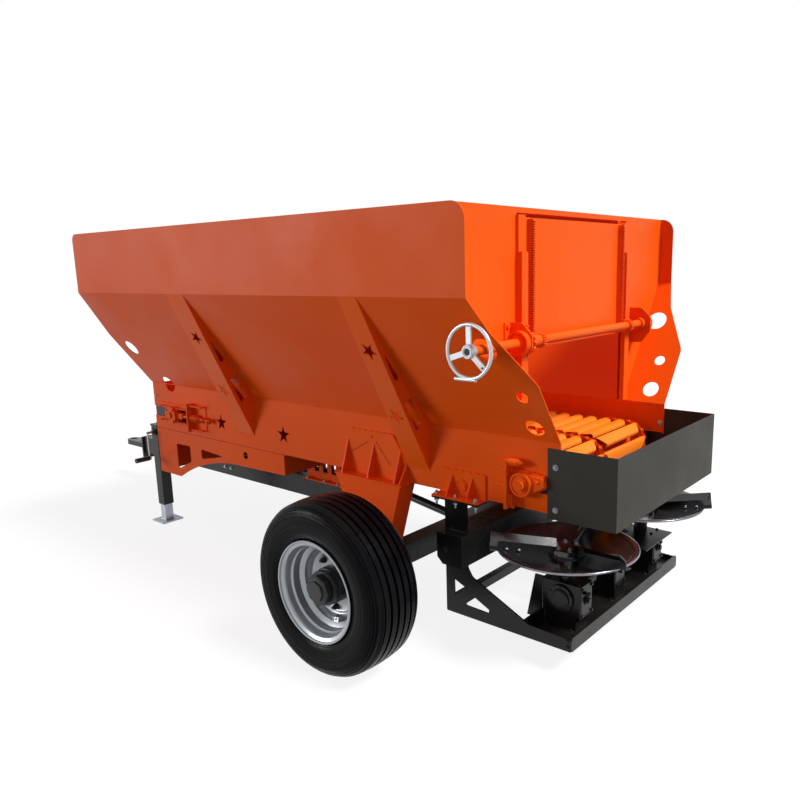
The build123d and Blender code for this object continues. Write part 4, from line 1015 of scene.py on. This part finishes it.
# ---------- spinner frame
frame_out, frame_in = 0.555, 0.547  # the side plates' faces
beam_low, beam_high, beam_end = 0.362, 0.508, 0.617
bm = bmesh.new()
for side in (1, -1):
    outer, inner = frame_out * side, frame_in * side
    # cross beam's welds, rear lip's bolts, the bolt in the beam's end, then the welds of
    # front bar, base and uprights
    for z in (beam_low, beam_high):
        add_weld(bm, (-1.545, outer, z), (-1.638, outer, z), 0.0032)
    for z in (0.122, 0.148):
        add_bolt(bm, (-2.155, outer, z), (0, side, 0), 0.0075, z)
    add_bolt(bm, (-1.565, beam_end * side, (beam_low + beam_high) / 2), (0, side, 0), 0.011, 0.2)
    add_weld(bm, (-1.537, inner, 0.187), (-1.577, inner, 0.187), 0.003)
    within = inner - side * 0.001
    add_weld(bm, (-2.165, within, 0.131), (-1.89, within, 0.131), 0.003, 0.04, 0.03)
    for x in (-1.53, -1.63):
        add_weld(bm, (x, inner, 0.648), (x, inner, 0.52), 0.0025)
for y in (-0.4, -0.2, 0.2, 0.4):
    add_bolt(bm, (-2.168, y, 0.13), (0, 0, 1), 0.0075, y)
piece("frame_bolts", bm, "black_paint")


# ---------- driveline
pto_z = 0.405
joint = Vector((-0.64, 0, pto_z))
drop = (Vector((-1.86, 0, 0.215)) - joint).normalized()  # along the rear shaft
stub_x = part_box("pto_line")[1].x
sleeve_profile = [(0, 0.047), (0.022, 0.047), (0.034, 0.053), (0.034, 0.085),
                  (0.03, 0.09), (0, 0.09)]
pin_profile = [(0, 0), (0.012, 0), (0.012, 0.0055), (0.01, 0.007), (0, 0.007)]
shaft_collar_profile = [(0.0238, 0), (0.0275, 0.001), (0.0275, 0.019), (0.0238, 0.02)]
bm = bmesh.new()
# cross joint: a yoke with two ears on each shaft
for ahead, across in ((Vector((1, 0, 0)), Vector((0, 1, 0))),
                      (drop, Vector((drop.z, 0, -drop.x)))):
    add_turned(bm, joint, ahead, sleeve_profile, 28)
    other = ahead.cross(across)
    for hand in (-1, 1):
        mid = joint + across * (hand * 0.03)
        ear = []
        for i in range(7):
            a = radians(90 + 30 * i)
            ear.append(mid + ahead * (0.019 * cos(a)) + other * (0.019 * sin(a)))
        ear += [mid + ahead * 0.06 + other * off for off in (-0.026, 0.026)]
        add_plate(bm, ear, across * (hand * 0.01))
        add_turned(bm, mid + across * (hand * 0.006), across * hand, pin_profile, 20)
# splines on the stub, collars on the shaft
for i in range(6):
    a = 2 * pi * i / 6
    spot = Vector((0, 0.0172 * cos(a), pto_z + 0.0172 * sin(a)))
    across = Vector((0, -sin(a), cos(a))) * 0.0038
    lift = Vector((0, cos(a), sin(a))) * 0.0026
    start, end = (Vector((stub_x - back, 0, 0)) + spot for back in (0.074, 0.006))
    add_plate(bm, [start - across, end - across, end + across, start + across], lift)
for x in (-0.55, 0.1, 0.9):
    add_turned(bm, (x, 0, pto_z), (1, 0, 0), shaft_collar_profile, 32, closed=True)
piece("driveline_joints", bm, "black_paint")


# ---------- drawbar, hanger and jack
beam_x, plate_x = 2.0825, 2.0985  # welds on the drawbar's beam and end plate
hanger_bolts, hanger_bolt_z = (0.893, 0.963), 0.29
hanger_sill_bolt_x, hanger_sill_bolt_z = 0.965, 0.887
bm = bmesh.new()
for side in (-1, 1):
    for x in hanger_bolts:
        add_bolt(bm, (x, 0.045 * side, hanger_bolt_z), (0, side, 0), 0.0095, x)
    for x in (0.02, -0.14, -0.26):
        add_bolt(bm, (x, 0.072 * side, 0.374), (0, 0, 1), 0.0095, x)
    for z in (0.27, 0.33):
        add_bolt(bm, (2.098, 0.048 * side, z), (1, 0, 0), 0.01, z)
for side in (1, -1):
    add_bolt(bm, (hanger_sill_bolt_x, face * side, hanger_sill_bolt_z), (0, side, 0), 0.0075,
             0.4)
piece("drawbar_bolts", bm, "zinc")

bm = bmesh.new()
for side in (-1, 1):
    for start, end, radius in (
            ((beam_x, 0.046, 0.24), (beam_x, 0.046, 0.362), 0.0034),
            ((plate_x, 0.0505, 0.272), (plate_x, 0.0505, 0.308), 0.003),
            ((2.1, 0.009, 0.2695), (2.225, 0.009, 0.2695), 0.003)):
        add_weld(bm, mirrored(*start, side), mirrored(*end, side), radius)
add_weld(bm, (beam_x, -0.044, 0.3665), (beam_x, 0.044, 0.3665), 0.0034)
add_weld(bm, (plate_x, -0.048, 0.3105), (plate_x, 0.048, 0.3105), 0.003)
piece("drawbar_welds", bm, "black_paint")

crank_low, crank_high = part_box("jack_crank")
jack_x = node_middle("jack_crank", "x")
jack_y = 0.485
jack_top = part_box("jack_tube")[1].z
tube_half = 0.035
flange_y = jack_y + tube_half
crank_z = 0.63
mount_x = 1.000
grip_start = 0.574
grip_length = crank_high.y - grip_start
grip_profile = [(0.0128, 0)]
for i in range(9):
    at = grip_length * (i + 0.5) / 9
    grip_profile += [(0.0158, at - 0.0038), (0.0164, at), (0.0158, at + 0.0038),
                     (0.0148, at + 0.0048)]
grip_profile += [(0.0168, grip_length - 0.002), (0.0155, grip_length + 0.001),
                 (0, grip_length + 0.0012)]
bm = bmesh.new()
add_turned(bm, (jack_x, grip_start, crank_low.z + 0.013), (0, 1, 0), grip_profile, 28)
add_bolt_ring(bm, (jack_x, flange_y, crank_z), (0, 1, 0), 0.026, 4, 0.0055, washer=True)
add_turned(bm, (jack_x, flange_y, crank_z), (0, 1, 0), [
    (0.0092, 0), (0.021, 0), (0.021, 0.005), (0.0165, 0.008), (0.0165, 0.016),
    (0.0092, 0.017)], 32, closed=True)
# the jack tube's pin holes as thin black discs: painted shade for their dark insides
for z in (0.2, 0.3, 0.4):
    for side in (-1, 1):
        hole = facing((jack_x, jack_y + tube_half * side, z), (0, side, 0))
        add_disc(bm, hole, 0.009, 0.0006, 20)
add_bolt(bm, (jack_x, jack_y, jack_top), (0, 0, 1), 0.012, 0.2)
for y in (0.433, 0.44):
    for z in (0.612, 0.468):
        add_bolt(bm, (mount_x, y, z), (1, 0, 0), 0.008, y)
piece("jack_grip", bm, "hub_black")

# round the leg on its foot plate
foot_weld_z = 0.0115
bm = bmesh.new()
for side in (-1, 1):
    y = jack_y + 0.0285 * side
    add_weld(bm, (jack_x - 0.028, y, foot_weld_z), (jack_x + 0.028, y, foot_weld_z), 0.003)
    x = jack_x + 0.0285 * side
    add_weld(bm, (x, jack_y - 0.028, foot_weld_z), (x, jack_y + 0.028, foot_weld_z), 0.003)
piece("jack_welds", bm, "bright_steel")


# ---------- floor, lights, camera
floor_tone, floor_glow, sky_light = 0.15, 0.86, 0.24


def floor_look(tree):
    """Pale, and as white as the background to a ray that shows it."""
    glow = spread(tree, background_seen(tree), 0, 1, 0, floor_glow)
    return {"Base Color": (floor_tone, floor_tone, floor_tone, 1), "Roughness": 0.95,
            "Specular IOR Level": 0.1, "Emission Color": (1, 1, 1, 1), "Emission Strength": glow}


def set_floor(half=40):
    mesh = bpy.data.meshes.new("floor")
    mesh.from_pydata([(-half, -half, 0), (half, -half, 0), (half, half, 0), (-half, half, 0)],
                     [], [(0, 1, 2, 3)])
    mesh.materials.append(new_material("floor", floor_look))
    ground = put_in_scene("floor", mesh)
    ground.location.z = -0.001


def set_world():
    """White where it is seen, and dimmer as the light that falls on the part."""
    world = bpy.data.worlds.new("studio")
    scene.world = world
    world.use_nodes = True
    tree = world.node_tree
    strength = spread(tree, background_seen(tree), 0, 1, sky_light, 1)
    set_inputs(tree, tree.nodes["Background"], {"Color": (1, 1, 1, 1), "Strength": strength})


def sun_light(name, come_from, strength, soft):
    light = bpy.data.lights.new(name, "SUN")
    light.angle = radians(soft)
    light.energy = strength
    lamp = put_in_scene(name, light)
    lamp.rotation_euler = (-Vector(come_from)).to_track_quat("-Z", "Y").to_euler()


def set_camera():
    place = Vector((-3.54, 3.009, 1.68))
    azimuth, elevation, roll = (radians(angle) for angle in (-51.24, -11.48, -1.09))
    ahead = Vector((cos(azimuth) * cos(elevation), sin(azimuth) * cos(elevation),
                    sin(elevation)))
    right = ahead.cross(Vector((0, 0, 1))).normalized()
    up = right.cross(ahead)
    right, up = (right * cos(roll) + up * sin(roll), up * cos(roll) - right * sin(roll))
    data = bpy.data.cameras.new("camera")
    data.lens = 32.9
    data.sensor_width = 36
    data.shift_x = -0.066
    data.shift_y = 0.019
    camera = put_in_scene("camera", data)
    turn = Matrix((right, up, -ahead)).transposed()
    camera.matrix_world = Matrix.Translation(place) @ turn.to_4x4()
    scene.camera = camera


set_floor()
set_world()
sun_light("key_rear", (-0.62, -0.12, 0.78), strength=4, soft=18)
sun_light("fill_front", (0.7, 0.64, 0.1), strength=1.2, soft=20)
set_camera()
scene.view_settings.view_transform = "Standard"
